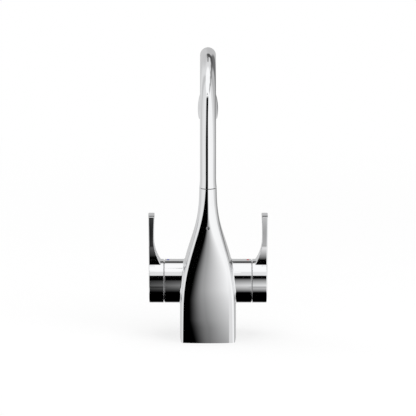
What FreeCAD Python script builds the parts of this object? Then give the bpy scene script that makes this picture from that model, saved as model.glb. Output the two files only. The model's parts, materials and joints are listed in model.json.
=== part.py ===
import FreeCAD, Part
import math
import os

# Boiling water tap: a deck-mounted column with an arched swivel spout and a lever at each side.
#
# Millimetres, +Z up. The origin is the centre of the base, on the worktop. The spout reaches
# towards -Y, where the user stands. Hot is at -X, cold is at +X, and both levers stand upright
# when closed. Side pieces are built once, for +X, and mirrored for -X.

V = FreeCAD.Vector

# ---- clearances ----
RUNNING_GAP = 0.05        # radial gap of a turning fit
PRESS_GAP = 0.02          # gap of two pieces fixed in each other
FREE_GAP = 0.3            # gap between moving pieces that don't touch
CAST_GAP = 0.1            # gap of a screwed-in piece in its bore

# ---- body column ----
BODY_HEIGHT = 184.8       # worktop to the seam under the spout
BASE_HALF_WIDTH = 33.7    # half the square base
BODY_WALL = 4.0           # cast wall round the hollow foot
NECK_WALL = 1.8           # cast wall round the spout stem at the neck
CAVITY_CORNER = 2.6       # how much more the cavity's corners are rounded than the outside
CAVITY_STEPS = 4          # height steps of the cavity's loft
RIM_ROUND = 0.35          # rounded lips of the seams
ARM_ROOT_ROUND = 2.0      # blend where the arms leave the column

# The column's flank at equal steps of height, from the worktop to the neck. Each row holds the
# share of the way from the neck's radius out to the base's half width, the share of the half
# width that is the bowed panel, and the panel's bow radius in half widths.
FLANK = [
    (1.000, 0.875, 8.90),
    (1.000, 0.870, 8.90),
    (1.000, 0.863, 8.80),
    (0.996, 0.855, 8.60),
    (0.970, 0.843, 8.20),
    (0.893, 0.825, 7.60),
    (0.773, 0.795, 6.80),
    (0.599, 0.755, 5.80),
    (0.399, 0.700, 4.60),
    (0.212, 0.600, 3.30),
    (0.084, 0.470, 2.15),
    (0.019, 0.350, 1.40),
    (0.000, 0.250, 1.00),
]

# ---- worktop fixing and inlets, in the roof of the hollow foot ----
ROOF_DROP = 30.5          # arm axis down to the roof of the hollow foot
INLET_RADIUS = 4.5        # M10 x 1 tapping size
INLET_DEPTH = 14.0
INLET_FROM_WEB = 3.0      # centre web to each inlet's axis, along X
STUD_RADIUS = 3.4         # M8 tapping size
STUD_DEPTH = 16.0
STUD_SPACING = 25.0       # between the two fixing studs, along Y
SEAL_INSET = 1.2          # base edge to the seal groove
SEAL_WIDTH = 1.6
SEAL_HEIGHT = 2.0

# ---- arms ----
ARM_AXIS_Z = 68.5
ARM_RADIUS = 26.4
ARM_END = 52.1            # centre to the arm's open end
ARM_WALL = 3.5            # round the recess in the arm's end
ARM_RECESS = 6.1          # depth of that recess
DOT_RADIUS = 1.75
DOT_FROM_END = 4.1        # arm end to the index dot's centre
DOT_DEPTH = 1.4
DOT_PROUD = 0.05

# ---- valve bores and cartridges, along X from the centre ----
SEAT_WEB = 16.0           # solid web between the two seat bores
SEAT_BORE_LENGTH = 10.0
SEAT_BORE_RADIUS = 5.0
DISC_RADIUS = 8.0
DISC_LENGTH = 3.0
DISC_PORT_RADIUS = 2.4
DISC_PORT_OFFSET = 4.4    # axis to the centre of each of the two water ports
BONNET_WALL = 2.1         # round the moving disc
BONNET_HEX_STEP = 1.6     # how far the hexagon's flats stand outside the bonnet
BONNET_HEX_LENGTH = 4.5
WINDOW_WIDTH = 7.0        # side outlets of the bonnet
WINDOW_LENGTH = 5.0
SEAT_SEAL_LENGTH = 1.5
SEAT_SEAL_WALL = 2.6
DRIVE_FLANGE_LENGTH = 3.0
DRIVE_TONGUE = 2.6        # width of the tongue that turns the moving disc
TONGUE_DEPTH = 1.2
SPINDLE_RADIUS = 4.25
RING_SECTION = 1.5        # O-ring section of spindle and bonnet

# ---- levers ----
HUB_GAP = 1.2             # seam between arm and hub
HUB_END = 70.7            # centre to the hub's outer face, at the hub's foot
HUB_FLOOR = 4.0           # thickness of the hub's end wall
SPINDLE_TIP_GAP = 2.2     # hub's end wall to the spindle's tip
BUSH_WALL = 2.25          # at the corners of the square hole
BOSS_WALL = 3.0           # of the boss inside the hub, round the bush
GLIDE_THICKNESS = 0.8     # part of the glide ring that shows in the seam
GLIDE_RADIAL = 2.3        # radial width of that part
GLIDE_SPIGOT = 3.0        # length of its spigots in the arm and in the hub
GLIDE_WALL = 1.4
BLADE_HEIGHT = 57.1       # hub's top to the lever's top
BLADE_WAIST_RISE = 27.1   # hub's top to the blade's thinnest place
BLADE_THICK = 6.4         # at its waist
BLADE_TOP_HALF = 10.5     # half of the blade's breadth at its top
BLADE_NECK_HALF = 7.2     # and at its neck, where it is narrowest
BLADE_NECK_RISE = 16.6    # hub's top to that neck
BLADE_NECK_ARC = 40.0     # radius of the sweep from the neck out to the hub
BLADE_CROWN = 40.0        # radius of the domed top
BLADE_ROOT_FLARE = 7.0    # how much the blade thickens from its waist down to the hub
BLADE_TOP_FLARE = 0.9
BLADE_SINK = 5.0          # how far the root's flare runs on inside the hub
BLADE_ROUND = 0.9         # rounded edges of the blade and of the hub's end
LEVER_LEAN = 1.0          # outward lean of the lever's outer face over its height
GRUB_RADIUS = 2.0
GRUB_LENGTH = 5.0
GRUB_SOCKET = 2.0         # hexagon socket, across flats

# ---- waterways ----
BOIL_TUBE_RADIUS = 4.0
BOIL_TUBE_WALL = 1.0
BOIL_SOCKET_DEPTH = 14.0
BOIL_RING_SECTION = 1.6
BOIL_WELL_DEPTH = 6.0
BOIL_WELL_RADIUS = 3.0
CHAMBER_RADIUS = 7.5
CHAMBER_DEPTH = 12.0
PASSAGE_RADIUS = 2.8

# ---- spout stem, seals and lock screw ----
WATER_GAP = 2.2           # radial room for cold water round the boiling tube
STEM_WALL = 2.1
STEM_INSERT = 60.0        # length of stem inside the body
STEM_SOCKET = 14.0        # length of stem inside the tube
STEM_RING_SECTION = 1.8
STEM_RING_FROM_FOOT = (3.0, 7.2)    # stem foot to each O-ring's middle
GLIDE_RING_HEIGHT = 4.0
GLIDE_RING_DEPTH = 0.9
GLIDE_RING_FROM_TOP = (38.0, 6.0)   # body top to each glide ring's middle
LOCK_SCREW_RADIUS = 2.15
LOCK_SCREW_DROP = 46.5    # body top down to the screw
LOCK_SCREW_LENGTH = 6.5
LOCK_SCREW_SOCKET = 2.5
LOCK_GROOVE_DEPTH = 1.3
SWIVEL_HALF_RANGE = 75.0  # degrees each way, set by the ends of the stem's groove

# ---- spout ----
SPOUT_RADIUS = 9.6
SPOUT_WALL = 1.5
SPOUT_RISE = 36.0         # seam to the start of the arch
FOOT_STEP = 0.1           # how far the tube's flared foot stays inside the neck
FOOT_LENGTH = 12.0
SEAM_GAP = 0.6
ARCH_RADIUS = 100.0
NOZZLE_TILT = 18.0        # degrees that the outlet leans away from the column
NOZZLE_LENGTH = 33.5
NOZZLE_LIP = 0.3          # step from the tube out to the nozzle
NOZZLE_BELLY = 0.8        # how much fuller the nozzle is than its mouth
NOZZLE_BELLY_AT = 12.5    # mouth to the widest point
MOUTH_ROUND = 1.2         # rounded outer edge of the mouth
NOZZLE_SPIGOT = 6.0       # length inside the tube
NOZZLE_SPIGOT_GAP = 0.3   # room for the tube's curve round the spigot

# ---- outlet inserts, measured up from the mouth ----
MOUTH_WALL = 1.38
AERATOR_RECESS = 1.0
AERATOR_RADIUS = 10.3
AERATOR_WALL = 1.6
AERATOR_LENGTH = 10.0
AERATOR_NOTCHES = 12
NOTCH_WIDTH = 1.2
NOTCH_DEPTH = 0.8
MESH_THICKNESS = 1.0
MESH_RECESS = 1.2
MESH_HOLE_RADIUS = 0.55
MESH_RINGS = 3            # rings of holes between the jet and the rim
MESH_PITCH = 2.0          # spacing of the holes round each ring
AERATOR_SEAL_LENGTH = 1.5
JET_WALL = 1.1
JET_BORE_RADIUS = 2.2
JET_COLLAR_WALL = 1.2
JET_LENGTH = 15.0
JET_GRIP = 6.0            # overlap of the jet's collar on the boiling tube

# ---- sizes that follow ----
STEM_RADIUS = BOIL_TUBE_RADIUS + WATER_GAP + STEM_WALL
STEM_BORE_RADIUS = STEM_RADIUS + FREE_GAP
SEAL_RING_RADIUS = STEM_BORE_RADIUS - RUNNING_GAP
NECK_RADIUS = STEM_BORE_RADIUS + NECK_WALL
STEM_FOOT_Z = BODY_HEIGHT - STEM_INSERT
CHAMBER_TOP_Z = STEM_FOOT_Z - FREE_GAP
CHAMBER_FLOOR_Z = CHAMBER_TOP_Z - CHAMBER_DEPTH
SOCKET_FLOOR_Z = CHAMBER_FLOOR_Z - BOIL_SOCKET_DEPTH
WELL_FLOOR_Z = SOCKET_FLOOR_Z - BOIL_WELL_DEPTH
ROOF_Z = ARM_AXIS_Z - ROOF_DROP
LOCK_SCREW_Z = BODY_HEIGHT - LOCK_SCREW_DROP
INLET_X = SEAT_WEB / 2 + INLET_FROM_WEB
ARM_BORE_RADIUS = ARM_RADIUS - ARM_WALL
BONNET_RADIUS = DISC_RADIUS + FREE_GAP + BONNET_WALL
VALVE_BORE_RADIUS = BONNET_RADIUS + CAST_GAP
RECESS_FLOOR_X = ARM_END - ARM_RECESS
SEAT_X = SEAT_WEB / 2 + SEAT_BORE_LENGTH
FIXED_DISC_X = SEAT_X + SEAT_SEAL_LENGTH
MOVING_DISC_X = FIXED_DISC_X + DISC_LENGTH + RUNNING_GAP
FLANGE_X = MOVING_DISC_X + DISC_LENGTH
SPINDLE_BORE_X = FLANGE_X + DRIVE_FLANGE_LENGTH + RUNNING_GAP
WINDOW_X = SPINDLE_BORE_X - WINDOW_LENGTH
BONNET_END_X = RECESS_FLOOR_X + BONNET_HEX_LENGTH
HUB_START_X = ARM_END + HUB_GAP
HUB_TOP_Z = ARM_AXIS_Z + ARM_RADIUS
HUB_FOOT_Z = ARM_AXIS_Z - ARM_RADIUS
RECESS_END_X = HUB_END - HUB_FLOOR
SPINDLE_END_X = RECESS_END_X - SPINDLE_TIP_GAP
SPINDLE_SQUARE = SPINDLE_RADIUS * math.sqrt(2)
BUSH_RADIUS = SPINDLE_RADIUS + BUSH_WALL
BOSS_RADIUS = BUSH_RADIUS + BOSS_WALL
GRUB_X = (HUB_START_X + SPINDLE_END_X) / 2
LEVER_TOP_Z = HUB_TOP_Z + BLADE_HEIGHT
BLADE_WAIST_Z = HUB_TOP_Z + BLADE_WAIST_RISE
SPOUT_BORE_RADIUS = SPOUT_RADIUS - SPOUT_WALL
SPOUT_FOOT_Z = BODY_HEIGHT + SEAM_GAP
SPOUT_FOOT_RADIUS = NECK_RADIUS - FOOT_STEP
ARCH_START_Z = SPOUT_FOOT_Z + SPOUT_RISE
NOZZLE_NECK_RADIUS = SPOUT_RADIUS + NOZZLE_LIP
NOZZLE_MOUTH_RADIUS = AERATOR_RADIUS + PRESS_GAP + MOUTH_WALL
NOZZLE_BELLY_RADIUS = NOZZLE_MOUTH_RADIUS + NOZZLE_BELLY
JET_RADIUS = JET_BORE_RADIUS + JET_WALL
JET_COLLAR_RADIUS = BOIL_TUBE_RADIUS + JET_COLLAR_WALL
NOZZLE_BORE_RADIUS = SPOUT_BORE_RADIUS - NOZZLE_SPIGOT_GAP - NOZZLE_LIP * 3
PAST = 1.0                # how far a cutting solid runs past the face that it opens


# ---- small helpers ----
def rod(radius, start, end):
    """A solid cylinder between two points."""
    span = end - start
    return Part.makeCylinder(radius, span.Length, start, span)


def x_rod(radius, start_x, end_x):
    """A solid cylinder on the axis of the arms."""
    return rod(radius, V(start_x, 0, ARM_AXIS_Z), V(end_x, 0, ARM_AXIS_Z))


def z_rod(radius, start_z, end_z, x=0.0, y=0.0):
    """A solid upright cylinder."""
    return rod(radius, V(x, y, start_z), V(x, y, end_z))


def x_ring(outer, inner, start_x, end_x):
    """A plain ring on the axis of the arms."""
    return x_rod(outer, start_x, end_x).cut(x_rod(inner, start_x - PAST, end_x + PAST))


def z_ring(outer, inner, start_z, end_z):
    """A plain upright ring on the column's axis."""
    return z_rod(outer, start_z, end_z).cut(z_rod(inner, start_z - PAST, end_z + PAST))


def hex_prism(across_flats, start, end):
    """A six-sided prism between two points."""
    span = end - start
    turn = FreeCAD.Rotation(V(0, 0, 1), span)
    corner_radius = across_flats / math.sqrt(3)
    corners = [
        start + turn.multVec(V(corner_radius * math.cos(a), corner_radius * math.sin(a), 0))
        for a in (math.radians(60 * k) for k in range(7))
    ]
    return Part.Face(Part.makePolygon(corners)).extrude(span)


def o_ring(inner_radius, section, centre, axis):
    """A ring of round section whose hole has the given radius."""
    return Part.makeTorus(inner_radius + section / 2, section / 2, centre, axis)


def grub_screw(radius, socket, head, tip):
    """A headless screw with a hexagon socket in its head and a small cone at its tip."""
    span = tip - head
    inward = V(span).normalize()
    body = rod(radius, head, tip)
    tip_edges = [e for e in body.Edges if abs((e.CenterOfMass - tip).Length) < 1e-6]
    body = body.makeChamfer(radius * 0.3, tip_edges)
    return body.cut(hex_prism(socket, head - inward * PAST, head + inward * span.Length * 0.5))


# ---- column ----
def station(z):
    """Half width, panel half width and bow radius of the column at a height."""
    step = BODY_HEIGHT / (len(FLANK) - 1)
    row = min(int(z / step), len(FLANK) - 2)
    part = z / step - row
    flare, panel, bow = (a + (b - a) * part for a, b in zip(FLANK[row], FLANK[row + 1]))
    half = NECK_RADIUS + (BASE_HALF_WIDTH - NECK_RADIUS) * flare
    return half, half * panel, half * bow


def square_wire(z, half, panel, bow):
    """A square of four bowed sides and four tangent corner arcs, at one height."""
    lean = math.asin(panel / bow)
    side_z = half - bow + bow * math.cos(lean)
    reach = (bow - half) / (math.cos(lean) - math.sin(lean))
    corner_centre = reach * math.sin(lean)
    corner_mid = corner_centre + (bow - reach) / math.sqrt(2)
    edges = []
    for quarter in range(4):
        turn = FreeCAD.Rotation(V(0, 0, 1), -90 * quarter)
        points = [V(-panel, side_z, 0), V(0, half, 0), V(panel, side_z, 0),
                  V(corner_mid, corner_mid, 0), V(side_z, panel, 0)]
        start, side_mid, joint, corner, end = [turn.multVec(p) + V(0, 0, z) for p in points]
        edges.append(Part.Arc(start, side_mid, joint).toShape())
        edges.append(Part.Arc(joint, corner, end).toShape())
    return Part.Wire(edges)


def column():
    """The solid outer form of the column."""
    step = BODY_HEIGHT / (len(FLANK) - 1)
    wires = [square_wire(row * step, *station(row * step)) for row in range(len(FLANK))]
    return Part.makeLoft(wires, True)


def is_arm_root(edge):
    """True for an edge where an arm's round side meets the column."""
    span = edge.LastParameter - edge.FirstParameter
    points = [edge.valueAt(edge.FirstParameter + span * k / 4) for k in range(5)]
    on_side = all(abs(math.hypot(p.y, p.z - ARM_AXIS_Z) - ARM_RADIUS) < 0.01 for p in points)
    crosses = abs(edge.tangentAt(edge.FirstParameter).x) < 0.999
    return on_side and crosses and all(abs(p.x) < ARM_END - PAST for p in points)


def outside_form():
    """Column and arms as one solid, with blended arm roots and rounded rims."""
    solid = column().fuse(x_rod(ARM_RADIUS, -ARM_END, ARM_END))
    solid = solid.makeFillet(ARM_ROOT_ROUND, [e for e in solid.Edges if is_arm_root(e)])
    rims = [
        e for e in solid.Edges
        if abs(e.BoundBox.ZMin - BODY_HEIGHT) < 1e-3 or abs(abs(e.CenterOfMass.x) - ARM_END) < 1e-3
    ]
    return solid.makeFillet(RIM_ROUND, rims)


def cavity():
    """The hollow of the foot, one wall in from the outside and open below."""
    wires = []
    for row in range(CAVITY_STEPS + 1):
        z = -PAST + (ROOF_Z + PAST) * row / CAVITY_STEPS
        half, panel, bow = station(max(z, 0))
        inner = (half - BODY_WALL, panel - BODY_WALL - CAVITY_CORNER, bow - BODY_WALL)
        wires.append(square_wire(z, *inner))
    return Part.makeLoft(wires, True)


def seal_ring(clearance):
    """The square band of the base seal; its groove is the same band made larger."""
    half, panel, bow = station(0)
    outer_inset = SEAL_INSET - clearance
    inner_inset = SEAL_INSET + SEAL_WIDTH + clearance
    outer, inner = (
        Part.Face(square_wire(0, half - inset, panel - inset / 2, bow - inset))
        for inset in (outer_inset, inner_inset)
    )
    return outer.cut(inner).extrude(V(0, 0, SEAL_HEIGHT + clearance))


def passage(side, end):
    """Axis of the slanted waterway from a valve's chamber to a point near the column's axis."""
    start = V(side * (WINDOW_X + WINDOW_LENGTH / 2), 0, ARM_AXIS_Z + VALVE_BORE_RADIUS * 0.7)
    return start, end


def waterways():
    """Start and end points of the cold and the hot slanted waterway."""
    cold = passage(1, V(CHAMBER_RADIUS, 0, CHAMBER_FLOOR_Z + PASSAGE_RADIUS / 2))
    hot = passage(-1, V(0, 0, WELL_FLOOR_Z + PASSAGE_RADIUS))
    return cold, hot


def body_casting():
    """Column and arms as one casting, with its hollow foot, recesses and every bore in it."""
    cuts = [
        cavity(),
        z_rod(STEM_BORE_RADIUS, CHAMBER_TOP_Z, BODY_HEIGHT + PAST),
        z_rod(CHAMBER_RADIUS, CHAMBER_FLOOR_Z, CHAMBER_TOP_Z),
        z_rod(BOIL_TUBE_RADIUS + RUNNING_GAP, SOCKET_FLOOR_Z, CHAMBER_FLOOR_Z),
        z_rod(BOIL_WELL_RADIUS, WELL_FLOOR_Z, SOCKET_FLOOR_Z),
        boil_seal_groove(),
        lock_screw_hole(),
        seal_ring(CAST_GAP),
    ]
    for start, end in waterways():
        cuts.append(rod(PASSAGE_RADIUS, start, end))
    for side in (1, -1):
        cuts.append(x_rod(ARM_BORE_RADIUS, side * RECESS_FLOOR_X, side * (ARM_END + PAST)))
        cuts.append(x_rod(VALVE_BORE_RADIUS, side * SEAT_X, side * (RECESS_FLOOR_X + PAST)))
        cuts.append(x_rod(SEAT_BORE_RADIUS, side * SEAT_WEB / 2, side * SEAT_X))
        low = ROOF_Z - PAST
        cuts.append(z_rod(INLET_RADIUS, low, ROOF_Z + INLET_DEPTH, side * INLET_X))
        cuts.append(z_rod(PASSAGE_RADIUS, low, ARM_AXIS_Z, side * INLET_X))
        cuts.append(z_rod(STUD_RADIUS, low, ROOF_Z + STUD_DEPTH, 0, side * STUD_SPACING / 2))
        cuts.append(dot_blank(CAST_GAP / 2, side))
    return outside_form().cut(cuts)


def lock_screw_axis():
    """Outer and inner end of the lock screw, on the column's back."""
    half = station(LOCK_SCREW_Z)[0]
    tip = STEM_RADIUS - LOCK_GROOVE_DEPTH + FREE_GAP
    return V(0, half, LOCK_SCREW_Z), V(0, tip, LOCK_SCREW_Z)


def lock_screw_hole():
    """The tapped hole that the lock screw sits in."""
    outer, tip = lock_screw_axis()
    return rod(LOCK_SCREW_RADIUS + PRESS_GAP, tip, outer + V(0, BODY_WALL, 0))


def spout_lock_screw():
    """The screw that holds the spout down and stops its swivel."""
    tip = lock_screw_axis()[1]
    head = tip + V(0, LOCK_SCREW_LENGTH, 0)
    return grub_screw(LOCK_SCREW_RADIUS, LOCK_SCREW_SOCKET, head, tip)


def boil_seal_z():
    """Height of the seal round the boiling tube."""
    return (SOCKET_FLOOR_Z + CHAMBER_FLOOR_Z) / 2


def boil_seal_groove():
    """Groove of the seal round the boiling tube."""
    outer = BOIL_TUBE_RADIUS + RUNNING_GAP + BOIL_RING_SECTION + PRESS_GAP
    half = BOIL_RING_SECTION / 2 + PRESS_GAP
    return z_ring(outer, BOIL_TUBE_RADIUS, boil_seal_z() - half, boil_seal_z() + half)


def boiling_tube_seal():
    """O-ring in the body that seals round the turning boiling tube."""
    return o_ring(BOIL_TUBE_RADIUS + RUNNING_GAP, BOIL_RING_SECTION, V(0, 0, boil_seal_z()), V(0, 0, 1))


def dot_blank(clearance, side):
    """The index dot's plug, and with a clearance its hole."""
    x = side * (ARM_END - DOT_FROM_END)
    return z_rod(DOT_RADIUS + clearance, HUB_TOP_Z - DOT_DEPTH - clearance, HUB_TOP_Z + PAST, x)


def index_dot():
    """The coloured dot let into the top of the arm, a hair proud of it."""
    return dot_blank(0, 1).common(x_rod(ARM_RADIUS + DOT_PROUD, 0, ARM_END))


# ---- valve cartridge, +X side ----
def disc_ports(start_x, end_x):
    """The two water ports of a ceramic disc."""
    ports = []
    for side in (1, -1):
        centre = V(start_x - PAST, 0, ARM_AXIS_Z + side * DISC_PORT_OFFSET)
        ports.append(rod(DISC_PORT_RADIUS, centre, centre + V(end_x - start_x + 2 * PAST, 0, 0)))
    return ports


def tongue(clearance, start_x, end_x):
    """The driving tongue across the spindle's flange, or its slot in the moving disc."""
    width = DRIVE_TONGUE + 2 * clearance
    length = 2 * DISC_RADIUS
    corner = V(start_x, -length / 2, ARM_AXIS_Z - width / 2)
    return Part.makeBox(end_x - start_x, length, width, corner)


def square_bar(size, start_x, end_x):
    """A bar of square section on the axis of the arms."""
    return Part.makeBox(end_x - start_x, size, size, V(start_x, -size / 2, ARM_AXIS_Z - size / 2))


def seat_seal():
    """Rubber seal between the seat bore's rim and the fixed disc."""
    return x_ring(DISC_RADIUS, DISC_RADIUS - SEAT_SEAL_WALL, SEAT_X, FIXED_DISC_X)


def fixed_disc():
    """Ceramic disc that stays still."""
    disc = x_rod(DISC_RADIUS, FIXED_DISC_X, FIXED_DISC_X + DISC_LENGTH)
    return disc.cut(disc_ports(FIXED_DISC_X, FIXED_DISC_X + DISC_LENGTH))


def moving_disc():
    """Ceramic disc that turns with the spindle; its ports lie crosswise when closed."""
    disc = x_rod(DISC_RADIUS, MOVING_DISC_X, FLANGE_X)
    disc = disc.cut(disc_ports(MOVING_DISC_X, FLANGE_X))
    disc.rotate(V(0, 0, ARM_AXIS_Z), V(1, 0, 0), 90)
    return disc.cut(tongue(PRESS_GAP, FLANGE_X - TONGUE_DEPTH - PRESS_GAP, FLANGE_X + PAST))


def spindle_ring_x():
    """Place of the spindle's O-ring."""
    return (SPINDLE_BORE_X + RECESS_FLOOR_X) / 2


def spindle():
    """Flange and tongue that turn the disc, a grooved shaft and a square end for the lever."""
    turned = x_rod(DISC_RADIUS, FLANGE_X, FLANGE_X + DRIVE_FLANGE_LENGTH)
    turned = turned.fuse(x_rod(SPINDLE_RADIUS, FLANGE_X, BONNET_END_X))
    turned = turned.fuse(tongue(0, FLANGE_X - TONGUE_DEPTH, FLANGE_X + PRESS_GAP).common(
        x_rod(DISC_RADIUS, FLANGE_X - TONGUE_DEPTH, FLANGE_X + PRESS_GAP)))
    turned = turned.fuse(square_bar(SPINDLE_SQUARE, BONNET_END_X, SPINDLE_END_X))
    half = RING_SECTION / 2 + PRESS_GAP
    groove = x_ring(SPINDLE_RADIUS + PAST, SPINDLE_RADIUS - RING_SECTION,
                    spindle_ring_x() - half, spindle_ring_x() + half)
    return turned.cut(groove)


def spindle_o_ring():
    """O-ring in the spindle's groove."""
    centre = V(spindle_ring_x(), 0, ARM_AXIS_Z)
    return o_ring(SPINDLE_RADIUS - RING_SECTION, RING_SECTION, centre, V(1, 0, 0))


def bonnet_ring_x():
    """Place of the O-ring round the bonnet."""
    return RECESS_FLOOR_X - 3 * RING_SECTION


def bonnet():
    """The cartridge's brass body, screwed into the valve bore by its hexagon."""
    body = x_rod(BONNET_RADIUS, FIXED_DISC_X, RECESS_FLOOR_X)
    across_flats = 2 * (BONNET_RADIUS + BONNET_HEX_STEP)
    hexagon = hex_prism(across_flats, V(RECESS_FLOOR_X, 0, ARM_AXIS_Z), V(BONNET_END_X, 0, ARM_AXIS_Z))
    body = body.fuse(hexagon)
    groove_half = RING_SECTION / 2 + PRESS_GAP
    cuts = [
        x_rod(DISC_RADIUS + CAST_GAP, FIXED_DISC_X - PAST, MOVING_DISC_X - RUNNING_GAP),
        x_rod(DISC_RADIUS + FREE_GAP, MOVING_DISC_X - RUNNING_GAP, SPINDLE_BORE_X),
        x_rod(SPINDLE_RADIUS + RUNNING_GAP, SPINDLE_BORE_X - PAST, BONNET_END_X + PAST),
        Part.makeBox(WINDOW_LENGTH, WINDOW_WIDTH, 4 * BONNET_RADIUS,
                     V(WINDOW_X, -WINDOW_WIDTH / 2, ARM_AXIS_Z - 2 * BONNET_RADIUS)),
        x_ring(BONNET_RADIUS + PAST, VALVE_BORE_RADIUS - RING_SECTION,
               bonnet_ring_x() - groove_half, bonnet_ring_x() + groove_half),
    ]
    return body.cut(cuts)


def bonnet_o_ring():
    """O-ring that seals the bonnet in the valve bore."""
    centre = V(bonnet_ring_x(), 0, ARM_AXIS_Z)
    return o_ring(VALVE_BORE_RADIUS - RING_SECTION, RING_SECTION, centre, V(1, 0, 0))


def glide_ring():
    """Plastic ring in the seam: it centres the hub on the arm."""
    start = ARM_END - GLIDE_SPIGOT
    flange_end = ARM_END + GLIDE_THICKNESS
    end = flange_end + GLIDE_SPIGOT
    flange = x_rod(ARM_BORE_RADIUS + GLIDE_RADIAL, ARM_END, flange_end)
    arm_spigot = x_rod(ARM_BORE_RADIUS - PRESS_GAP, start, ARM_END)
    hub_spigot = x_rod(ARM_BORE_RADIUS - RUNNING_GAP, flange_end, end)
    bore = x_rod(ARM_BORE_RADIUS - GLIDE_WALL, start - PAST, end + PAST)
    return flange.fuse([arm_spigot, hub_spigot]).cut(bore)


# ---- lever, +X side ----
def outer_x(z):
    """The lever's outer face, leaning out from the hub's foot to the lever's top."""
    return HUB_END + LEVER_LEAN * (z - HUB_FOOT_Z) / (LEVER_TOP_Z - HUB_FOOT_Z)


def flare_arc(waist_x, end_z, flare, run_on=0.0):
    """Middle and end of an arc that leaves the waist upright and gains the flare at a height.

    With run_on the arc is carried on by that much height.
    """
    span = end_z - BLADE_WAIST_Z
    radius = (flare ** 2 + span ** 2) / (2 * flare)
    turn = math.asin((span + run_on) / radius)
    return [
        V(waist_x - radius * (1 - math.cos(a)), 0, BLADE_WAIST_Z + radius * math.sin(a))
        for a in (turn / 2, turn)
    ]


def blade_side():
    """The blade's outline from the side: a neck above the hub, spread edges and a domed top."""
    neck_z = HUB_TOP_Z + BLADE_NECK_RISE
    centre_y = BLADE_NECK_HALF + BLADE_NECK_ARC
    corner_z = LEVER_TOP_Z - BLADE_CROWN + math.sqrt(BLADE_CROWN ** 2 - BLADE_TOP_HALF ** 2)
    away_y = centre_y - BLADE_TOP_HALF
    away_z = corner_z - neck_z
    spread = math.atan2(away_z, away_y) - math.acos(BLADE_NECK_ARC / math.hypot(away_y, away_z))
    sink = math.asin((HUB_TOP_Z - BLADE_SINK - neck_z) / BLADE_NECK_ARC)
    upper, neck, root = [
        V(0, centre_y - BLADE_NECK_ARC * math.cos(a), neck_z + BLADE_NECK_ARC * math.sin(a))
        for a in (spread, 0, sink)
    ]
    corner = V(0, BLADE_TOP_HALF, corner_z)
    foot = V(0, root.y, ARM_AXIS_Z)
    edges = []
    for side in (1, -1):
        c, u, n, r, f = [V(0, side * p.y, p.z) for p in (corner, upper, neck, root, foot)]
        edges.append(Part.LineSegment(c, u).toShape())
        edges.append(Part.Arc(u, n, r).toShape())
        edges.append(Part.LineSegment(r, f).toShape())
    edges.append(Part.LineSegment(foot, V(0, -foot.y, foot.z)).toShape())
    edges.append(Part.Arc(corner, V(0, 0, LEVER_TOP_Z), V(0, -corner.y, corner.z)).toShape())
    return Part.Wire(Part.sortEdges(edges)[0])


def blade():
    """The upright blade: slim at its waist, flared to the hub below and a little at its top."""
    waist = V(outer_x(BLADE_WAIST_Z) - BLADE_THICK, 0, BLADE_WAIST_Z)
    top_mid, top_in = flare_arc(waist.x, LEVER_TOP_Z, BLADE_TOP_FLARE)
    root_mid, root_in = flare_arc(waist.x, HUB_TOP_Z, BLADE_ROOT_FLARE, -BLADE_SINK)
    axis_in = V(root_in.x, 0, ARM_AXIS_Z)
    axis_out = V(outer_x(ARM_AXIS_Z), 0, ARM_AXIS_Z)
    top_out = V(outer_x(LEVER_TOP_Z), 0, LEVER_TOP_Z)
    profile = Part.Wire([
        Part.LineSegment(axis_out, top_out).toShape(),
        Part.LineSegment(top_out, top_in).toShape(),
        Part.Arc(top_in, top_mid, waist).toShape(),
        Part.Arc(waist, root_mid, root_in).toShape(),
        Part.LineSegment(root_in, axis_in).toShape(),
        Part.LineSegment(axis_in, axis_out).toShape(),
    ])
    profile.translate(V(0, -ARM_RADIUS, 0))
    slab = Part.Face(profile).extrude(V(0, 2 * ARM_RADIUS, 0))
    solid = slab.common(Part.Face(blade_side()).extrude(V(2 * HUB_END, 0, 0)))
    edges = []
    for edge in solid.Edges:
        box = edge.BoundBox
        smooth_seam = box.ZLength < RIM_ROUND and box.ZMin < BLADE_WAIST_Z + PAST
        if box.ZMax > HUB_TOP_Z and not smooth_seam:
            edges.append(edge)
    return solid.makeFillet(BLADE_ROUND, edges)


def hub():
    """The hub's round cup, cut along the lever's leaning outer face and rounded there."""
    foot_z = HUB_FOOT_Z - PAST
    top_z = HUB_TOP_Z + PAST
    side = Part.makePolygon([
        V(HUB_START_X, 0, foot_z), V(outer_x(foot_z), 0, foot_z), V(outer_x(top_z), 0, top_z),
        V(HUB_START_X, 0, top_z), V(HUB_START_X, 0, foot_z),
    ])
    side.translate(V(0, -2 * ARM_RADIUS, 0))
    solid = Part.Face(side).extrude(V(0, 4 * ARM_RADIUS, 0)).common(x_rod(ARM_RADIUS, 0, 2 * HUB_END))
    rim = [e for e in solid.Edges if e.BoundBox.XMin > HUB_END - PAST]
    solid = solid.makeFillet(BLADE_ROUND, rim)
    inner_rim = [e for e in solid.Edges if e.BoundBox.XMax < HUB_START_X + RIM_ROUND]
    return solid.makeFillet(RIM_ROUND, inner_rim)


def lever():
    """The lever's rounded solid with its recess, boss bore and screw hole."""
    recess = x_rod(ARM_BORE_RADIUS, HUB_START_X - PAST, RECESS_END_X)
    recess = recess.cut(x_rod(BOSS_RADIUS, HUB_START_X + FREE_GAP, RECESS_END_X + PAST))
    bush_bore = x_rod(BUSH_RADIUS + PRESS_GAP, HUB_START_X - PAST, SPINDLE_END_X + FREE_GAP)
    screw_way = z_rod(GRUB_RADIUS + PRESS_GAP, HUB_FOOT_Z - PAST, ARM_AXIS_Z, GRUB_X)
    return hub().fuse(blade()).cut([recess, bush_bore, screw_way])


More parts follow.
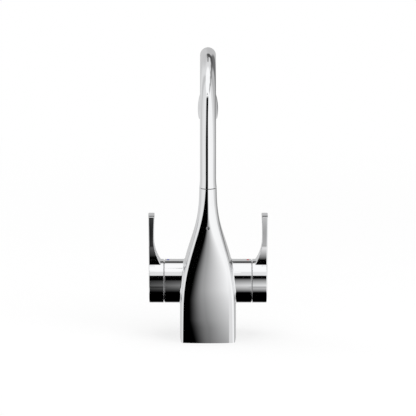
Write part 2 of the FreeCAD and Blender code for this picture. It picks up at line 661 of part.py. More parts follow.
def lever_bush():
    """Brass bush with a square hole, fixed in the hub's boss."""
    bush = x_rod(BUSH_RADIUS, HUB_START_X + FREE_GAP, SPINDLE_END_X)
    hole = square_bar(SPINDLE_SQUARE + 2 * PRESS_GAP, BONNET_END_X, SPINDLE_END_X + PAST)
    screw_way = z_rod(GRUB_RADIUS + PRESS_GAP, ARM_AXIS_Z - BOSS_RADIUS, ARM_AXIS_Z, GRUB_X)
    return bush.cut([hole, screw_way])


def lever_screw():
    """Grub screw under the hub that clamps the lever to the spindle."""
    tip = V(GRUB_X, 0, ARM_AXIS_Z - SPINDLE_SQUARE / 2 - PRESS_GAP)
    return grub_screw(GRUB_RADIUS, GRUB_SOCKET, tip - V(0, 0, GRUB_LENGTH), tip)


# ---- spout ----
def arch_point(angle):
    """Point of the spout's centre line after it has turned by this many degrees."""
    a = math.radians(angle)
    return V(0, -ARCH_RADIUS + ARCH_RADIUS * math.cos(a), ARCH_START_Z + ARCH_RADIUS * math.sin(a))


def nozzle_direction():
    """The way that the water leaves."""
    tilt = math.radians(NOZZLE_TILT)
    return V(0, -math.sin(tilt), -math.cos(tilt))


def spout_bar(radius, start_z, end_length):
    """A solid round bar along the spout: an upright run, the arch and a straight end."""
    turn = 180 - NOZZLE_TILT
    bar = z_rod(radius, start_z, ARCH_START_Z)
    disc = Part.Face(Part.Wire(Part.makeCircle(radius, V(0, 0, ARCH_START_Z), V(0, 0, 1))))
    arch = disc.revolve(V(0, -ARCH_RADIUS, ARCH_START_Z), V(1, 0, 0), turn)
    bar = bar.fuse(arch)
    if end_length > 0:
        last = arch_point(turn)
        bar = bar.fuse(rod(radius, last, last + nozzle_direction() * end_length))
    return bar


def spout_tube():
    """The arched tube with its flared foot."""
    low = SPOUT_FOOT_Z
    high = SPOUT_FOOT_Z + FOOT_LENGTH
    points = [
        V(0, 0, low),
        V(SPOUT_FOOT_RADIUS - RIM_ROUND, 0, low),
        V(SPOUT_FOOT_RADIUS, 0, low + RIM_ROUND),
        V(SPOUT_RADIUS, 0, high),
        V(0, 0, high),
    ]
    edges = [Part.LineSegment(a, b).toShape() for a, b in zip(points, points[1:] + points[:1])]
    waist = V(SPOUT_RADIUS + (SPOUT_FOOT_RADIUS - SPOUT_RADIUS) / 4, 0, (low + high) / 2)
    edges[2] = Part.Arc(points[2], waist, points[3]).toShape()
    foot = Part.Face(Part.Wire(edges)).revolve(V(0, 0, 0), V(0, 0, 1), 360)
    outer = spout_bar(SPOUT_RADIUS, low, 0).fuse(foot)
    return outer.cut(spout_bar(SPOUT_BORE_RADIUS, low - PAST, 0))


def spout_stem():
    """Brass stem: its top is fixed in the tube, its foot turns in the body."""
    stem = z_rod(STEM_RADIUS, STEM_FOOT_Z, SPOUT_FOOT_Z)
    stem = stem.fuse(z_rod(SPOUT_BORE_RADIUS - PRESS_GAP, SPOUT_FOOT_Z, SPOUT_FOOT_Z + STEM_SOCKET))
    cuts = [z_rod(STEM_RADIUS - STEM_WALL, STEM_FOOT_Z - PAST, SPOUT_FOOT_Z + STEM_SOCKET + PAST)]
    for up in STEM_RING_FROM_FOOT:
        half = STEM_RING_SECTION / 2 + PRESS_GAP
        cuts.append(z_ring(STEM_RADIUS + PAST, SEAL_RING_RADIUS - STEM_RING_SECTION,
                           STEM_FOOT_Z + up - half, STEM_FOOT_Z + up + half))
    for down in GLIDE_RING_FROM_TOP:
        middle = BODY_HEIGHT - down
        half = GLIDE_RING_HEIGHT / 2 + PRESS_GAP
        cuts.append(z_ring(STEM_RADIUS + PAST, STEM_RADIUS - GLIDE_RING_DEPTH, middle - half, middle + half))
    cuts.append(lock_groove())
    return stem.cut(cuts)


def lock_groove():
    """Groove round the back of the stem; its ends stop the swivel against the lock screw."""
    half_height = LOCK_SCREW_RADIUS + FREE_GAP
    screw_angle = math.degrees(math.asin((LOCK_SCREW_RADIUS + FREE_GAP) / (STEM_RADIUS - LOCK_GROOVE_DEPTH)))
    half_angle = SWIVEL_HALF_RANGE + screw_angle
    band = z_rod(STEM_RADIUS + PAST, LOCK_SCREW_Z - half_height, LOCK_SCREW_Z + half_height)
    band = band.cut(z_rod(STEM_RADIUS - LOCK_GROOVE_DEPTH, LOCK_SCREW_Z - 2 * half_height,
                          LOCK_SCREW_Z + 2 * half_height))
    wedge = Part.makeCylinder(2 * STEM_RADIUS, 2 * half_height, V(0, 0, LOCK_SCREW_Z - half_height),
                              V(0, 0, 1), 2 * half_angle)
    wedge.rotate(V(0, 0, 0), V(0, 0, 1), 90 - half_angle)
    return band.common(wedge)


def stem_o_ring(up):
    """O-ring in the stem, this far above its foot."""
    inner = SEAL_RING_RADIUS - STEM_RING_SECTION
    return o_ring(inner, STEM_RING_SECTION, V(0, 0, STEM_FOOT_Z + up), V(0, 0, 1))


def stem_glide_ring(down):
    """Plastic bearing ring in the stem, this far below the body's top."""
    middle = BODY_HEIGHT - down
    return z_ring(SEAL_RING_RADIUS, STEM_RADIUS - GLIDE_RING_DEPTH + PRESS_GAP,
                  middle - GLIDE_RING_HEIGHT / 2, middle + GLIDE_RING_HEIGHT / 2)


def boiling_tube():
    """Inner tube that keeps boiling water apart, from its socket in the body to the jet."""
    foot_z = SOCKET_FLOOR_Z + FREE_GAP
    length = NOZZLE_LENGTH - JET_LENGTH + JET_GRIP
    bore = spout_bar(BOIL_TUBE_RADIUS - BOIL_TUBE_WALL, foot_z, length)
    return spout_bar(BOIL_TUBE_RADIUS, foot_z, length).cut(bore)


# ---- outlet, built upright with its mouth at z = 0 and then put on the spout's end ----
def at_outlet(shape):
    """Moves a piece built on the Z axis, mouth at the origin, to the spout's outlet."""
    mouth = arch_point(180 - NOZZLE_TILT) + nozzle_direction() * NOZZLE_LENGTH
    turn = FreeCAD.Rotation(V(0, 0, 1), nozzle_direction() * -1)
    moved = shape.copy()
    moved.Placement = FreeCAD.Placement(mouth, turn)
    return moved


def nozzle_shell():
    """Barrel-shaped outlet with a spigot in the tube and a seat for the aerator."""
    seat_z = AERATOR_RECESS + AERATOR_LENGTH + AERATOR_SEAL_LENGTH
    lip = RIM_ROUND
    mouth_bore = AERATOR_RADIUS + PRESS_GAP
    spigot_radius = SPOUT_BORE_RADIUS - NOZZLE_SPIGOT_GAP
    points = [
        V(mouth_bore, 0, 0),
        V(NOZZLE_MOUTH_RADIUS - MOUTH_ROUND, 0, 0),
        V(NOZZLE_MOUTH_RADIUS, 0, MOUTH_ROUND),
        V(NOZZLE_NECK_RADIUS, 0, NOZZLE_LENGTH - lip),
        V(NOZZLE_NECK_RADIUS - lip, 0, NOZZLE_LENGTH),
        V(spigot_radius, 0, NOZZLE_LENGTH),
        V(spigot_radius, 0, NOZZLE_LENGTH + NOZZLE_SPIGOT),
        V(NOZZLE_BORE_RADIUS, 0, NOZZLE_LENGTH + NOZZLE_SPIGOT),
        V(NOZZLE_BORE_RADIUS, 0, seat_z),
        V(mouth_bore, 0, seat_z),
    ]
    inset = MOUTH_ROUND * (1 - math.sqrt(0.5))
    middles = {
        1: V(NOZZLE_MOUTH_RADIUS - inset, 0, inset),
        2: V(NOZZLE_BELLY_RADIUS, 0, NOZZLE_BELLY_AT),
    }
    edges = []
    for index, start in enumerate(points):
        end = points[(index + 1) % len(points)]
        if index in middles:
            edges.append(Part.Arc(start, middles[index], end).toShape())
        else:
            edges.append(Part.LineSegment(start, end).toShape())
    return at_outlet(Part.Face(Part.Wire(edges)).revolve(V(0, 0, 0), V(0, 0, 1), 360))


def aerator_housing():
    """Screwed-in ring with notches for its key."""
    top = AERATOR_RECESS + AERATOR_LENGTH
    bore = AERATOR_RADIUS - AERATOR_WALL
    ring = z_ring(AERATOR_RADIUS, bore, AERATOR_RECESS, top)
    notches = []
    for step in range(AERATOR_NOTCHES):
        corner = V(bore - PAST, -NOTCH_WIDTH / 2, AERATOR_RECESS - NOTCH_DEPTH)
        notch = Part.makeBox(AERATOR_WALL / 2 + PAST, NOTCH_WIDTH, 2 * NOTCH_DEPTH, corner)
        notch.rotate(V(0, 0, 0), V(0, 0, 1), 360 * step / AERATOR_NOTCHES)
        notches.append(notch)
    return at_outlet(ring.cut(notches))


def aerator_mesh():
    """Pierced outlet plate with a round hole for the jet."""
    low = AERATOR_RECESS + MESH_RECESS
    high = low + MESH_THICKNESS
    outer = AERATOR_RADIUS - AERATOR_WALL - PRESS_GAP
    inner = JET_RADIUS + PRESS_GAP
    holes = []
    for ring in range(MESH_RINGS):
        radius = inner + (outer - inner) * (ring + 0.5) / MESH_RINGS
        count = int(2 * math.pi * radius / MESH_PITCH)
        for step in range(count):
            angle = 2 * math.pi * step / count
            x = radius * math.cos(angle)
            y = radius * math.sin(angle)
            holes.append(z_rod(MESH_HOLE_RADIUS, low - PAST, high + PAST, x, y))
    plate = z_ring(outer, inner, low, high)
    return at_outlet(plate.cut(holes))


def aerator_seal():
    """Rubber washer between the aerator and its seat."""
    low = AERATOR_RECESS + AERATOR_LENGTH
    washer = z_ring(AERATOR_RADIUS - PRESS_GAP, NOZZLE_BORE_RADIUS, low, low + AERATOR_SEAL_LENGTH)
    return at_outlet(washer)


def boiling_jet():
    """Central outlet of the boiling water, gripping the inner tube's end."""
    low = AERATOR_RECESS
    tube_end = JET_LENGTH - JET_GRIP
    jet = z_rod(JET_RADIUS, low, tube_end)
    jet = jet.fuse(z_rod(JET_COLLAR_RADIUS, tube_end - JET_COLLAR_WALL, JET_LENGTH))
    cuts = [
        z_rod(JET_BORE_RADIUS, low - PAST, JET_LENGTH + PAST),
        z_rod(BOIL_TUBE_RADIUS + PRESS_GAP, tube_end, JET_LENGTH + PAST),
    ]
    return at_outlet(jet.cut(cuts))


# ---- every piece, by its node's name ----
def pieces():
    """All the pieces of the tap."""
    made = {
        "body_casting": body_casting(),
        "base_seal": seal_ring(0),
        "spout_lock_screw": spout_lock_screw(),
        "boiling_tube_seal": boiling_tube_seal(),
        "spout_tube": spout_tube(),
        "spout_stem": spout_stem(),
        "lower_stem_o_ring": stem_o_ring(STEM_RING_FROM_FOOT[0]),
        "upper_stem_o_ring": stem_o_ring(STEM_RING_FROM_FOOT[1]),
        "lower_stem_glide_ring": stem_glide_ring(GLIDE_RING_FROM_TOP[0]),
        "upper_stem_glide_ring": stem_glide_ring(GLIDE_RING_FROM_TOP[1]),
        "boiling_tube": boiling_tube(),
        "nozzle_shell": nozzle_shell(),
        "aerator_housing": aerator_housing(),
        "aerator_mesh": aerator_mesh(),
        "aerator_seal": aerator_seal(),
        "boiling_jet": boiling_jet(),
    }
    side_pieces = {
        "lever": lever(),
        "lever_bush": lever_bush(),
        "lever_screw": lever_screw(),
        "spindle": spindle(),
        "spindle_o_ring": spindle_o_ring(),
        "moving_disc": moving_disc(),
        "fixed_disc": fixed_disc(),
        "seat_seal": seat_seal(),
        "bonnet": bonnet(),
        "bonnet_o_ring": bonnet_o_ring(),
        "glide_ring": glide_ring(),
        "index_dot": index_dot(),
    }
    for name, shape in side_pieces.items():
        made["cold_" + name] = shape
        made["hot_" + name] = shape.mirror(V(0, 0, 0), V(1, 0, 0))
    return made


os.makedirs("parts", exist_ok=True)
for name, shape in pieces().items():
    shape.exportStep("parts/" + name + ".step")
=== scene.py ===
"""A chrome boiling water tap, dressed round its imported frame.

Shapes are worked out in millimetres in the frame's axes: +Z up from the worktop, the spout towards
-Y, hot at -X and cold at +X. Every shape is a grid of points with the true normal at each point.
"""
import json
import math

import bpy
import numpy as np
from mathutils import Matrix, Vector
from mathutils.bvhtree import BVHTree


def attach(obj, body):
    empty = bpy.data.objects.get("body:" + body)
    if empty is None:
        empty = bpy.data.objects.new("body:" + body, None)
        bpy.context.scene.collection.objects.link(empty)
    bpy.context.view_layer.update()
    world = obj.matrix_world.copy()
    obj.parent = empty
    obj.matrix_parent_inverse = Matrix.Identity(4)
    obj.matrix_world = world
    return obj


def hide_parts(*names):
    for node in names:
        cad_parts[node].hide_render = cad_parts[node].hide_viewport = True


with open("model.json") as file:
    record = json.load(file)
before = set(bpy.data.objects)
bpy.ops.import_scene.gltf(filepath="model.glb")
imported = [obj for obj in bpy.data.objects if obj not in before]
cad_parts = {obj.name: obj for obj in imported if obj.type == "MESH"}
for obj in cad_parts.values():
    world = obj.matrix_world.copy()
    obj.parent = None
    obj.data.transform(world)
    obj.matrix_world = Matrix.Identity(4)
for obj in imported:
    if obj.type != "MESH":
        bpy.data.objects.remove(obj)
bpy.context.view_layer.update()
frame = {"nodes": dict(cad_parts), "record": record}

MM = 0.001

# ---- column and arms, in millimetres ----
BODY_HEIGHT = 184.8
NECK_RADIUS = 10.4
BASE_HALF_WIDTH = 33.7
STEM_BORE_RADIUS = 8.6
# Flank of the column at equal steps of height: share of the way from the neck out to the base,
# share of the half width that is the bowed panel, and the bow's radius in half widths.
FLANK = np.array([
    (1.000, 0.875, 8.90),
    (1.000, 0.870, 8.90),
    (1.000, 0.863, 8.80),
    (0.996, 0.855, 8.60),
    (0.970, 0.843, 8.20),
    (0.893, 0.825, 7.60),
    (0.773, 0.795, 6.80),
    (0.599, 0.755, 5.80),
    (0.399, 0.700, 4.60),
    (0.212, 0.600, 3.30),
    (0.084, 0.470, 2.15),
    (0.019, 0.350, 1.40),
    (0.000, 0.250, 1.00),
])
ARM_AXIS_Z = 68.5
ARM_RADIUS = 26.4
ARM_END = 52.1
ARM_BORE_RADIUS = 22.9
ARM_ROOT_ROUND = 2.0
RIM_ROUND = 0.35
SEAL_GROOVE_INSET = 1.1
LOCK_HOLE_RADIUS = 2.17
LOCK_HOLE_Z = 138.3

# ---- levers ----
HUB_START = 53.3
HUB_END = 70.7
LEVER_TOP_Z = 152.0
LEVER_LEAN = 1.0
BLADE_WAIST_Z = 122.0
BLADE_THICK = 6.4
BLADE_TOP_HALF = 10.5
BLADE_NECK_HALF = 7.2
BLADE_NECK_RISE = 16.6
BLADE_NECK_ARC = 40.0
BLADE_CROWN = 40.0
BLADE_ROOT_FLARE = 7.0
BLADE_TOP_FLARE = 0.9
BLADE_ROUND = 0.9
GRUB_HOLE_RADIUS = 2.02
GRUB_X = 58.9

# ---- spout and outlet ----
SPOUT_RADIUS = 9.6
SPOUT_BORE = 8.1
SPOUT_FOOT_Z = 185.4
SPOUT_FOOT_RADIUS = 10.3
FOOT_LENGTH = 12.0
ARCH_START_Z = 221.4
ARCH_RADIUS = 100.0
ARCH_TURN = math.radians(162)
NOZZLE_LENGTH = 33.5
NOZZLE_NECK = 9.9
NOZZLE_MOUTH = 11.7
NOZZLE_BELLY = 12.5
NOZZLE_BELLY_AT = 12.5
MOUTH_ROUND = 1.2
NOZZLE_BORE = 6.9
NOZZLE_SPIGOT_RADIUS = 7.8
NOZZLE_SPIGOT = 6.0
MOUTH_BORE = 10.32
AERATOR_SEAT = 12.5

# ---- fineness of the grids ----
PANEL_CELLS = 32
CORNER_CELLS = 16
TURN_CELLS = 128
HUB_CELLS = 192
BLADE_FACE_CELLS = 12
BLADE_CORNER_CELLS = 8
ARCH_ROWS = 109
WELD = 5e-4
COVERED = 0.15            # a face of the frame this near to a new skin is covered by it


# ---- surfaces ----
def with_normals(surface, u, v, step=1e-4):
    """Points of a surface at (u, v), and its unit normals from small steps both ways."""
    across = surface(u + step, v) - surface(u - step, v)
    along = surface(u, v + step) - surface(u, v - step)
    normals = np.cross(across, along)
    return surface(u, v), normals / np.linalg.norm(normals, axis=-1, keepdims=True)


def mirrored(patches):
    """The same patches at the other side of the column."""
    flip = np.array([-1, 1, 1])
    return [(points * flip, normals * flip) for points, normals in patches]


def line(start, end, count=2):
    """Profile points (radius, distance) on a straight run, with normals at its right hand."""
    points = np.linspace(start, end, count)
    run = np.subtract(end, start) / np.linalg.norm(np.subtract(end, start))
    return points, np.tile([run[1], -run[0]], (count, 1))


def arc(centre, radius, start, end, count=8):
    """Profile points on an arc from one angle to another, in degrees, with normals as on a line."""
    angle = np.radians(np.linspace(start, end, count))
    outward = np.stack([np.cos(angle), np.sin(angle)], -1)
    return np.asarray(centre) + radius * outward, outward if end > start else -outward


def arc_through(start, middle, end, count):
    """Profile points on the arc through three points."""
    a, b, c = (np.asarray(p, float) for p in (start, middle, end))
    rows = 2 * np.array([b - a, c - a])
    centre = np.linalg.solve(rows, np.array([b @ b - a @ a, c @ c - a @ a]))
    first, last = (math.degrees(math.atan2(*(p - centre)[::-1])) for p in (a, c))
    sweep = (last - first + 180) % 360 - 180
    return arc(centre, np.linalg.norm(a - centre), first, first + sweep, count)


def straight(foot, along, side):
    """A straight path, as centre, two cross directions and travel direction at each distance."""
    foot, along, side = (np.asarray(v, float) for v in (foot, along, side))

    def path(distance):
        centre = foot + distance[:, None] * along
        return centre, side + 0 * centre, np.cross(along, side) + 0 * centre, along + 0 * centre

    return path


def swept(pieces, path):
    """A round profile carried along a path: one patch for each of its lines and arcs.

    A profile point (radius, distance) becomes a circle of that radius about the path's centre
    there. The profile runs anticlockwise round its solid.
    """
    turn = np.linspace(0, 2 * math.pi, TURN_CELLS + 1)[:, None]
    patches = []
    for points, normals in pieces:
        centre, side, out, along = (v[:, None, :] for v in path(points[:, 1]))
        ray = np.cos(turn) * side + np.sin(turn) * out
        patches.append((
            centre + points[:, :1, None] * ray,
            normals[:, :1, None] * ray + normals[:, 1:, None] * along,
        ))
    return patches


def weld(patches):
    """Points, faces and corner normals of all the patches in one: points that coincide are welded
    and faces look along the normals."""
    corners = []
    start = 0
    for points, normals in patches:
        rows, columns = points.shape[:2]
        index = start + np.arange(rows * columns).reshape(rows, columns)
        quads = np.stack([index[:-1, :-1], index[1:, :-1], index[1:, 1:], index[:-1, 1:]], -1)
        across = points[1:, :-1] - points[:-1, :-1]
        along = points[:-1, 1:] - points[:-1, :-1]
        facing = np.sum(np.cross(across, along) * normals[:-1, :-1])
        quads = quads.reshape(-1, 4)
        corners.append(quads if facing > 0 else quads[:, ::-1])
        start += rows * columns
    points = np.concatenate([p.reshape(-1, 3) for p, _ in patches])
    normals = np.concatenate([n.reshape(-1, 3) for _, n in patches])
    corners = np.concatenate(corners)
    _, first, same = np.unique(np.round(points / WELD), axis=0, return_index=True, return_inverse=True)
    same = same.reshape(-1)
    repeats = same[corners] == np.roll(same[corners], -1, axis=1)
    quads = corners[repeats.sum(1) == 0]
    three = repeats.sum(1) == 1
    triangles = corners[three][~repeats[three]].reshape(-1, 3)
    faces = same[quads].tolist() + same[triangles].tolist()
    return points[first] * MM, faces, normals[np.concatenate([quads.ravel(), triangles.ravel()])]


def uncovered(node, points, faces):
    """The frame node's own triangles that a new skin leaves open: bores, seats and recesses."""
    source = frame["nodes"][node].data
    source.calc_loop_triangles()
    own = np.empty(len(source.vertices) * 3)
    source.vertices.foreach_get("co", own)
    triangles = np.empty(len(source.loop_triangles) * 3, int)
    source.loop_triangles.foreach_get("vertices", triangles)
    own = own.reshape(-1, 3)
    triangles = triangles.reshape(-1, 3)
    skin = BVHTree.FromPolygons(points.tolist(), faces)
    near = np.array([skin.find_nearest(middle)[3] for middle in own[triangles].mean(1)])
    triangles = triangles[near > COVERED * MM]
    used, order = np.unique(triangles, return_inverse=True)
    return own[used], order.reshape(-1, 3)


def make_piece(name, patches, body, nodes, materials, inside=()):
    """A new piece of the tap: it rides on a body and stands for its frame nodes.

    The nodes in inside give it their uncovered faces, in its last material.
    """
    points, faces, normals = weld(patches)
    skin_faces = len(faces)
    for node in inside:
        own, triangles = uncovered(node, points, faces[:skin_faces])
        corners = own[triangles]
        flat = np.cross(corners[:, 1] - corners[:, 0], corners[:, 2] - corners[:, 0])
        flat /= np.maximum(np.linalg.norm(flat, axis=1, keepdims=True), 1e-12)
        normals = np.concatenate([normals, np.repeat(flat, 3, axis=0)])
        faces = faces + (triangles + len(points)).tolist()
        points = np.concatenate([points, own])
    mesh = bpy.data.meshes.new(name)
    mesh.from_pydata(points, [], faces)
    mesh.polygons.foreach_set("use_smooth", [True] * len(faces))
    for material in materials:
        mesh.materials.append(material)
    last = len(materials) - 1
    mesh.polygons.foreach_set("material_index", [0] * skin_faces + [last] * (len(faces) - skin_faces))
    mesh.normals_split_custom_set(normals)
    piece = bpy.data.objects.new(name, mesh)
    bpy.context.scene.collection.objects.link(piece)
    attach(piece, body)
    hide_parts(*nodes)
    return piece


# ---- column ----
def between_rows(rows, share):
    """Values between evenly spaced rows, by a natural cubic spline; share runs from 0 to 1."""
    inner = len(rows) - 2
    matrix = 4 * np.eye(inner) + np.eye(inner, k=1) + np.eye(inner, k=-1)
    bend = np.zeros_like(rows)
    bend[1:-1] = np.linalg.solve(matrix, 6 * (rows[2:] - 2 * rows[1:-1] + rows[:-2]))
    at = np.asarray(share) * (len(rows) - 1)
    low = np.clip(np.floor(at).astype(int), 0, len(rows) - 2)
    t = (at - low)[..., None]
    ends = rows[low] * (1 - t) + rows[low + 1] * t
    return ends + (((1 - t) ** 3 - (1 - t)) * bend[low] + (t ** 3 - t) * bend[low + 1]) / 6


def section(z):
    """Half width, panel half width, bow radius, lean, corner centre and corner radius at a height."""
    flare, panel_share, bow_ratio = np.moveaxis(between_rows(FLANK, z / BODY_HEIGHT), -1, 0)
    half = NECK_RADIUS + (BASE_HALF_WIDTH - NECK_RADIUS) * flare
    panel = half * panel_share
    bow = half * bow_ratio
    lean = np.arcsin(panel / bow)
    reach = (bow - half) / (np.cos(lean) - np.sin(lean))
    return half, panel, bow, lean, reach * np.sin(lean), bow - reach


def column_point(u, z):
    """Point of the column's flank: u counts panels and corners anticlockwise, 0 in the middle of +X.

    Even pieces are arcs of the bow's radius, odd ones the corner arcs tangent to them.
    """
    u, z = np.broadcast_arrays(u, z)
    half, _, bow, lean, centre, corner = section(z)
    piece = np.floor(u + 0.5)
    along = u + 0.5 - piece
    on_panel = piece % 2 == 0
    angle = np.where(on_panel, lean * (2 * along - 1), lean + along * (math.pi / 2 - 2 * lean))
    radius = np.where(on_panel, bow, corner)
    out = np.where(on_panel, half - bow, centre) + radius * np.cos(angle)
    across = np.where(on_panel, 0, centre) + radius * np.sin(angle)
    turn = np.floor(piece / 2) * math.pi / 2
    x = out * np.cos(turn) - across * np.sin(turn)
    y = out * np.sin(turn) + across * np.cos(turn)
    return np.stack([x, y, z], -1)


def side_depth(y, z):
    """How far the column's +X side stands out at a place on it."""
    half, panel, bow, _, centre, corner = section(z)
    on_panel = np.abs(y) <= panel
    flat = half - bow + np.sqrt(np.maximum(bow ** 2 - y ** 2, 0))
    rounded = centre + np.sqrt(np.maximum(corner ** 2 - (np.abs(y) - centre) ** 2, 0))
    return np.where(on_panel, flat, rounded)


def side_place(y, z):
    """The u of a place on the column's +X side."""
    _, panel, bow, lean, centre, corner = section(z)
    on_panel = np.abs(y) <= panel
    flat = np.arcsin(np.clip(y / bow, -1, 1)) / lean / 2
    angle = np.arcsin(np.clip((np.abs(y) - centre) / corner, -1, 1))
    rounded = np.sign(y) * (0.5 + (angle - lean) / (math.pi / 2 - 2 * lean))
    return np.where(on_panel, flat, rounded)


def u_lines(start, end):
    """The column's upright grid lines from one whole u to another."""
    lines = [start]
    for half_piece in range(int(round(2 * start)), int(round(2 * end))):
        low = half_piece / 2
        on_panel = math.floor(low + 0.5) % 2 == 0
        cells = (PANEL_CELLS if on_panel else CORNER_CELLS) // 2
        lines.extend(np.linspace(low, low + 0.5, cells + 1)[1:])
    return np.array(lines)


def flank_patch(start_u, end_u, start_z, end_z, rows):
    """A plain stretch of the column."""
    u, z = np.meshgrid(u_lines(start_u, end_u), np.linspace(start_z, end_z, rows + 1))
    return with_normals(column_point, u, z)


def frame_of_cells(u, z):
    """Grid points round the border of a field, anticlockwise from its lower left corner."""
    across = np.concatenate([u, np.full(len(z) - 2, u[-1]), u[::-1], np.full(len(z) - 1, u[0])])
    up = np.concatenate([np.full(len(u), z[0]), z[1:-1], np.full(len(u), z[-1]), z[::-1][1:]])
    return across, up


def holed_patch(surface, u, v, hole, rows):
    """A field of a surface with a hole: rings of points run from the hole's edge to the border.

    hole gives the (u, v) of the edge for each point of the border.
    """
    border_u, border_v = frame_of_cells(u, v)
    hole_u, hole_v = hole(border_u, border_v)
    share = np.linspace(0, 1, rows + 1)[:, None]
    ring_u = hole_u + (border_u - hole_u) * share
    ring_v = hole_v + (border_v - hole_v) * share
    return with_normals(surface, ring_u, ring_v)


def arm_turns(u, z):
    """Angle round the arm's axis, from the top, that faces a place on the column's +X side."""
    lines = u_lines(-2, 2)
    points = column_point(lines, np.full(len(lines), ARM_AXIS_Z))
    lengths = np.concatenate([[0], np.cumsum(np.linalg.norm(np.diff(points, axis=0), axis=1))])
    across = np.interp(u, lines, lengths - lengths[-1] / 2)
    return np.arctan2(across, z - ARM_AXIS_Z)


def arm_hole(u, z):
    """Edge of the hole that an arm's root leaves in the column."""
    turn = arm_turns(u, z)
    edge = ARM_RADIUS + ARM_ROOT_ROUND
    edge_z = ARM_AXIS_Z + edge * np.cos(turn)
    return side_place(edge * np.sin(turn), edge_z), edge_z


def arm_point(turn, s):
    """Point of the arm at +X: s from 0 to 1 is its root's blend, 1 to 2 its side, 2 to 3 its rim
    and 3 to 4 its end face. The blend is a quarter round added to the column's own side."""
    turn, s = np.broadcast_arrays(turn, s)
    root = np.minimum(s, 1) * math.pi / 2
    radius = ARM_RADIUS + ARM_ROOT_ROUND * (1 - np.sin(root))
    y = radius * np.sin(turn)
    z = ARM_AXIS_Z + radius * np.cos(turn)
    x = side_depth(y, z) + ARM_ROOT_ROUND * (1 - np.cos(root))
    x = np.where(s > 1, x + (ARM_END - RIM_ROUND - x) * np.minimum(s - 1, 1), x)
    rim = np.clip(s - 2, 0, 1) * math.pi / 2
    x = np.where(s > 2, ARM_END - RIM_ROUND * (1 - np.sin(rim)), x)
    radius = np.where(s > 2, ARM_RADIUS - RIM_ROUND * (1 - np.cos(rim)), radius)
    radius = np.where(s > 3, radius + (ARM_BORE_RADIUS - radius) * (s - 3), radius)
    return np.stack([x, radius * np.sin(turn), ARM_AXIS_Z + radius * np.cos(turn)], -1)


def lock_hole(u, z):
    """Edge of the lock screw's hole, in the middle of the column's +Y side."""
    turn = np.arctan2((u - 2) * section(np.array(LOCK_HOLE_Z))[1] * 2, z - LOCK_HOLE_Z)
    edge_z = LOCK_HOLE_Z + LOCK_HOLE_RADIUS * np.cos(turn)
    return 2 + side_place(LOCK_HOLE_RADIUS * np.sin(turn), edge_z), edge_z


def body_patches():
    """Column, arms and rims: the whole outside of the casting."""
    below, above = 30.0, 112.0
    screw_low, screw_high = 130.0, 147.0
    top = BODY_HEIGHT - RIM_ROUND
    side_z = np.linspace(below, above, 65)
    patches = [
        flank_patch(0, 8, 0, below, 16),
        flank_patch(0, 8, above, screw_low, 16),
        flank_patch(3, 9, screw_low, screw_high, 16),
        flank_patch(0, 8, screw_high, top, 32),
        holed_patch(column_point, u_lines(1, 3), np.linspace(screw_low, screw_high, 17), lock_hole, 12),
    ]
    arm_lines = u_lines(-2, 2)
    side = holed_patch(column_point, arm_lines, side_z, arm_hole, 40)
    turn = arm_turns(*frame_of_cells(arm_lines, side_z))
    s = np.concatenate([np.linspace(0, 1, 11), np.linspace(1, 2, 13)[1:], np.linspace(2, 3, 7)[1:], [4]])
    arm = with_normals(arm_point, turn, s[:, None])
    patches += [side, arm] + mirrored([side, arm])

    flank, sideways = with_normals(column_point, u_lines(0, 8), np.full(len(u_lines(0, 8)), 0.0))
    ring = np.stack([flank, flank - SEAL_GROOVE_INSET * sideways])
    patches.append((ring, np.zeros_like(ring) + [0, 0, -1]))
    edge = column_point(u_lines(0, 8), np.full(len(u_lines(0, 8)), top))
    outward = edge * [1, 1, 0] / np.linalg.norm(edge[:, :2], axis=1)[:, None]
    lift = np.radians(np.linspace(0, 90, 7))[:, None, None]
    rim_normals = np.cos(lift) * outward + np.sin(lift) * np.array([0, 0, 1])
    rim = edge + RIM_ROUND * (rim_normals - outward)
    patches.append((rim, rim_normals))
    bore = outward * STEM_BORE_RADIUS + [0, 0, BODY_HEIGHT]
    lip = np.stack([rim[-1], bore])
    patches.append((lip, np.zeros_like(lip) + [0, 0, 1]))
    return patches


# ---- levers ----
def outer_x(z):
    """The lever's outer face, leaning out from the hub's foot to the lever's top."""
    foot = ARM_AXIS_Z - ARM_RADIUS
    return HUB_END + LEVER_LEAN * (z - foot) / (LEVER_TOP_Z - foot)


def hub_point(turn, s):
    """Point of the hub at +X: s from 0 to 1 is its end face, 1 to 2 the outer edge's round, 2 to 3
    its side, 3 to 4 the inner rim's round and 4 to 5 the ring face in the seam."""
    turn, s = np.broadcast_arrays(turn, s)
    edge = np.clip(s - 1, 0, 1) * math.pi / 2
    radius = ARM_RADIUS - BLADE_ROUND * (1 - np.sin(edge))
    radius = np.where(s < 1, radius * s, radius)
    x = outer_x(ARM_AXIS_Z + radius * np.cos(turn)) - BLADE_ROUND * (1 - np.cos(edge))
    rim_start = HUB_START + RIM_ROUND
    x = np.where(s > 2, x + (rim_start - x) * np.minimum(s - 2, 1), x)
    rim = np.clip(s - 3, 0, 1) * math.pi / 2
    x = np.where(s > 3, rim_start - RIM_ROUND * np.sin(rim), x)
    radius = np.where(s > 3, ARM_RADIUS - RIM_ROUND * (1 - np.cos(rim)), radius)
    radius = np.where(s > 4, radius + (ARM_BORE_RADIUS - radius) * (s - 4), radius)
    return np.stack([x, radius * np.sin(turn), ARM_AXIS_Z + radius * np.cos(turn)], -1)


def crown_z(y):
    """Height of the blade's domed top."""
    return LEVER_TOP_Z - BLADE_CROWN + np.sqrt(BLADE_CROWN ** 2 - y ** 2)


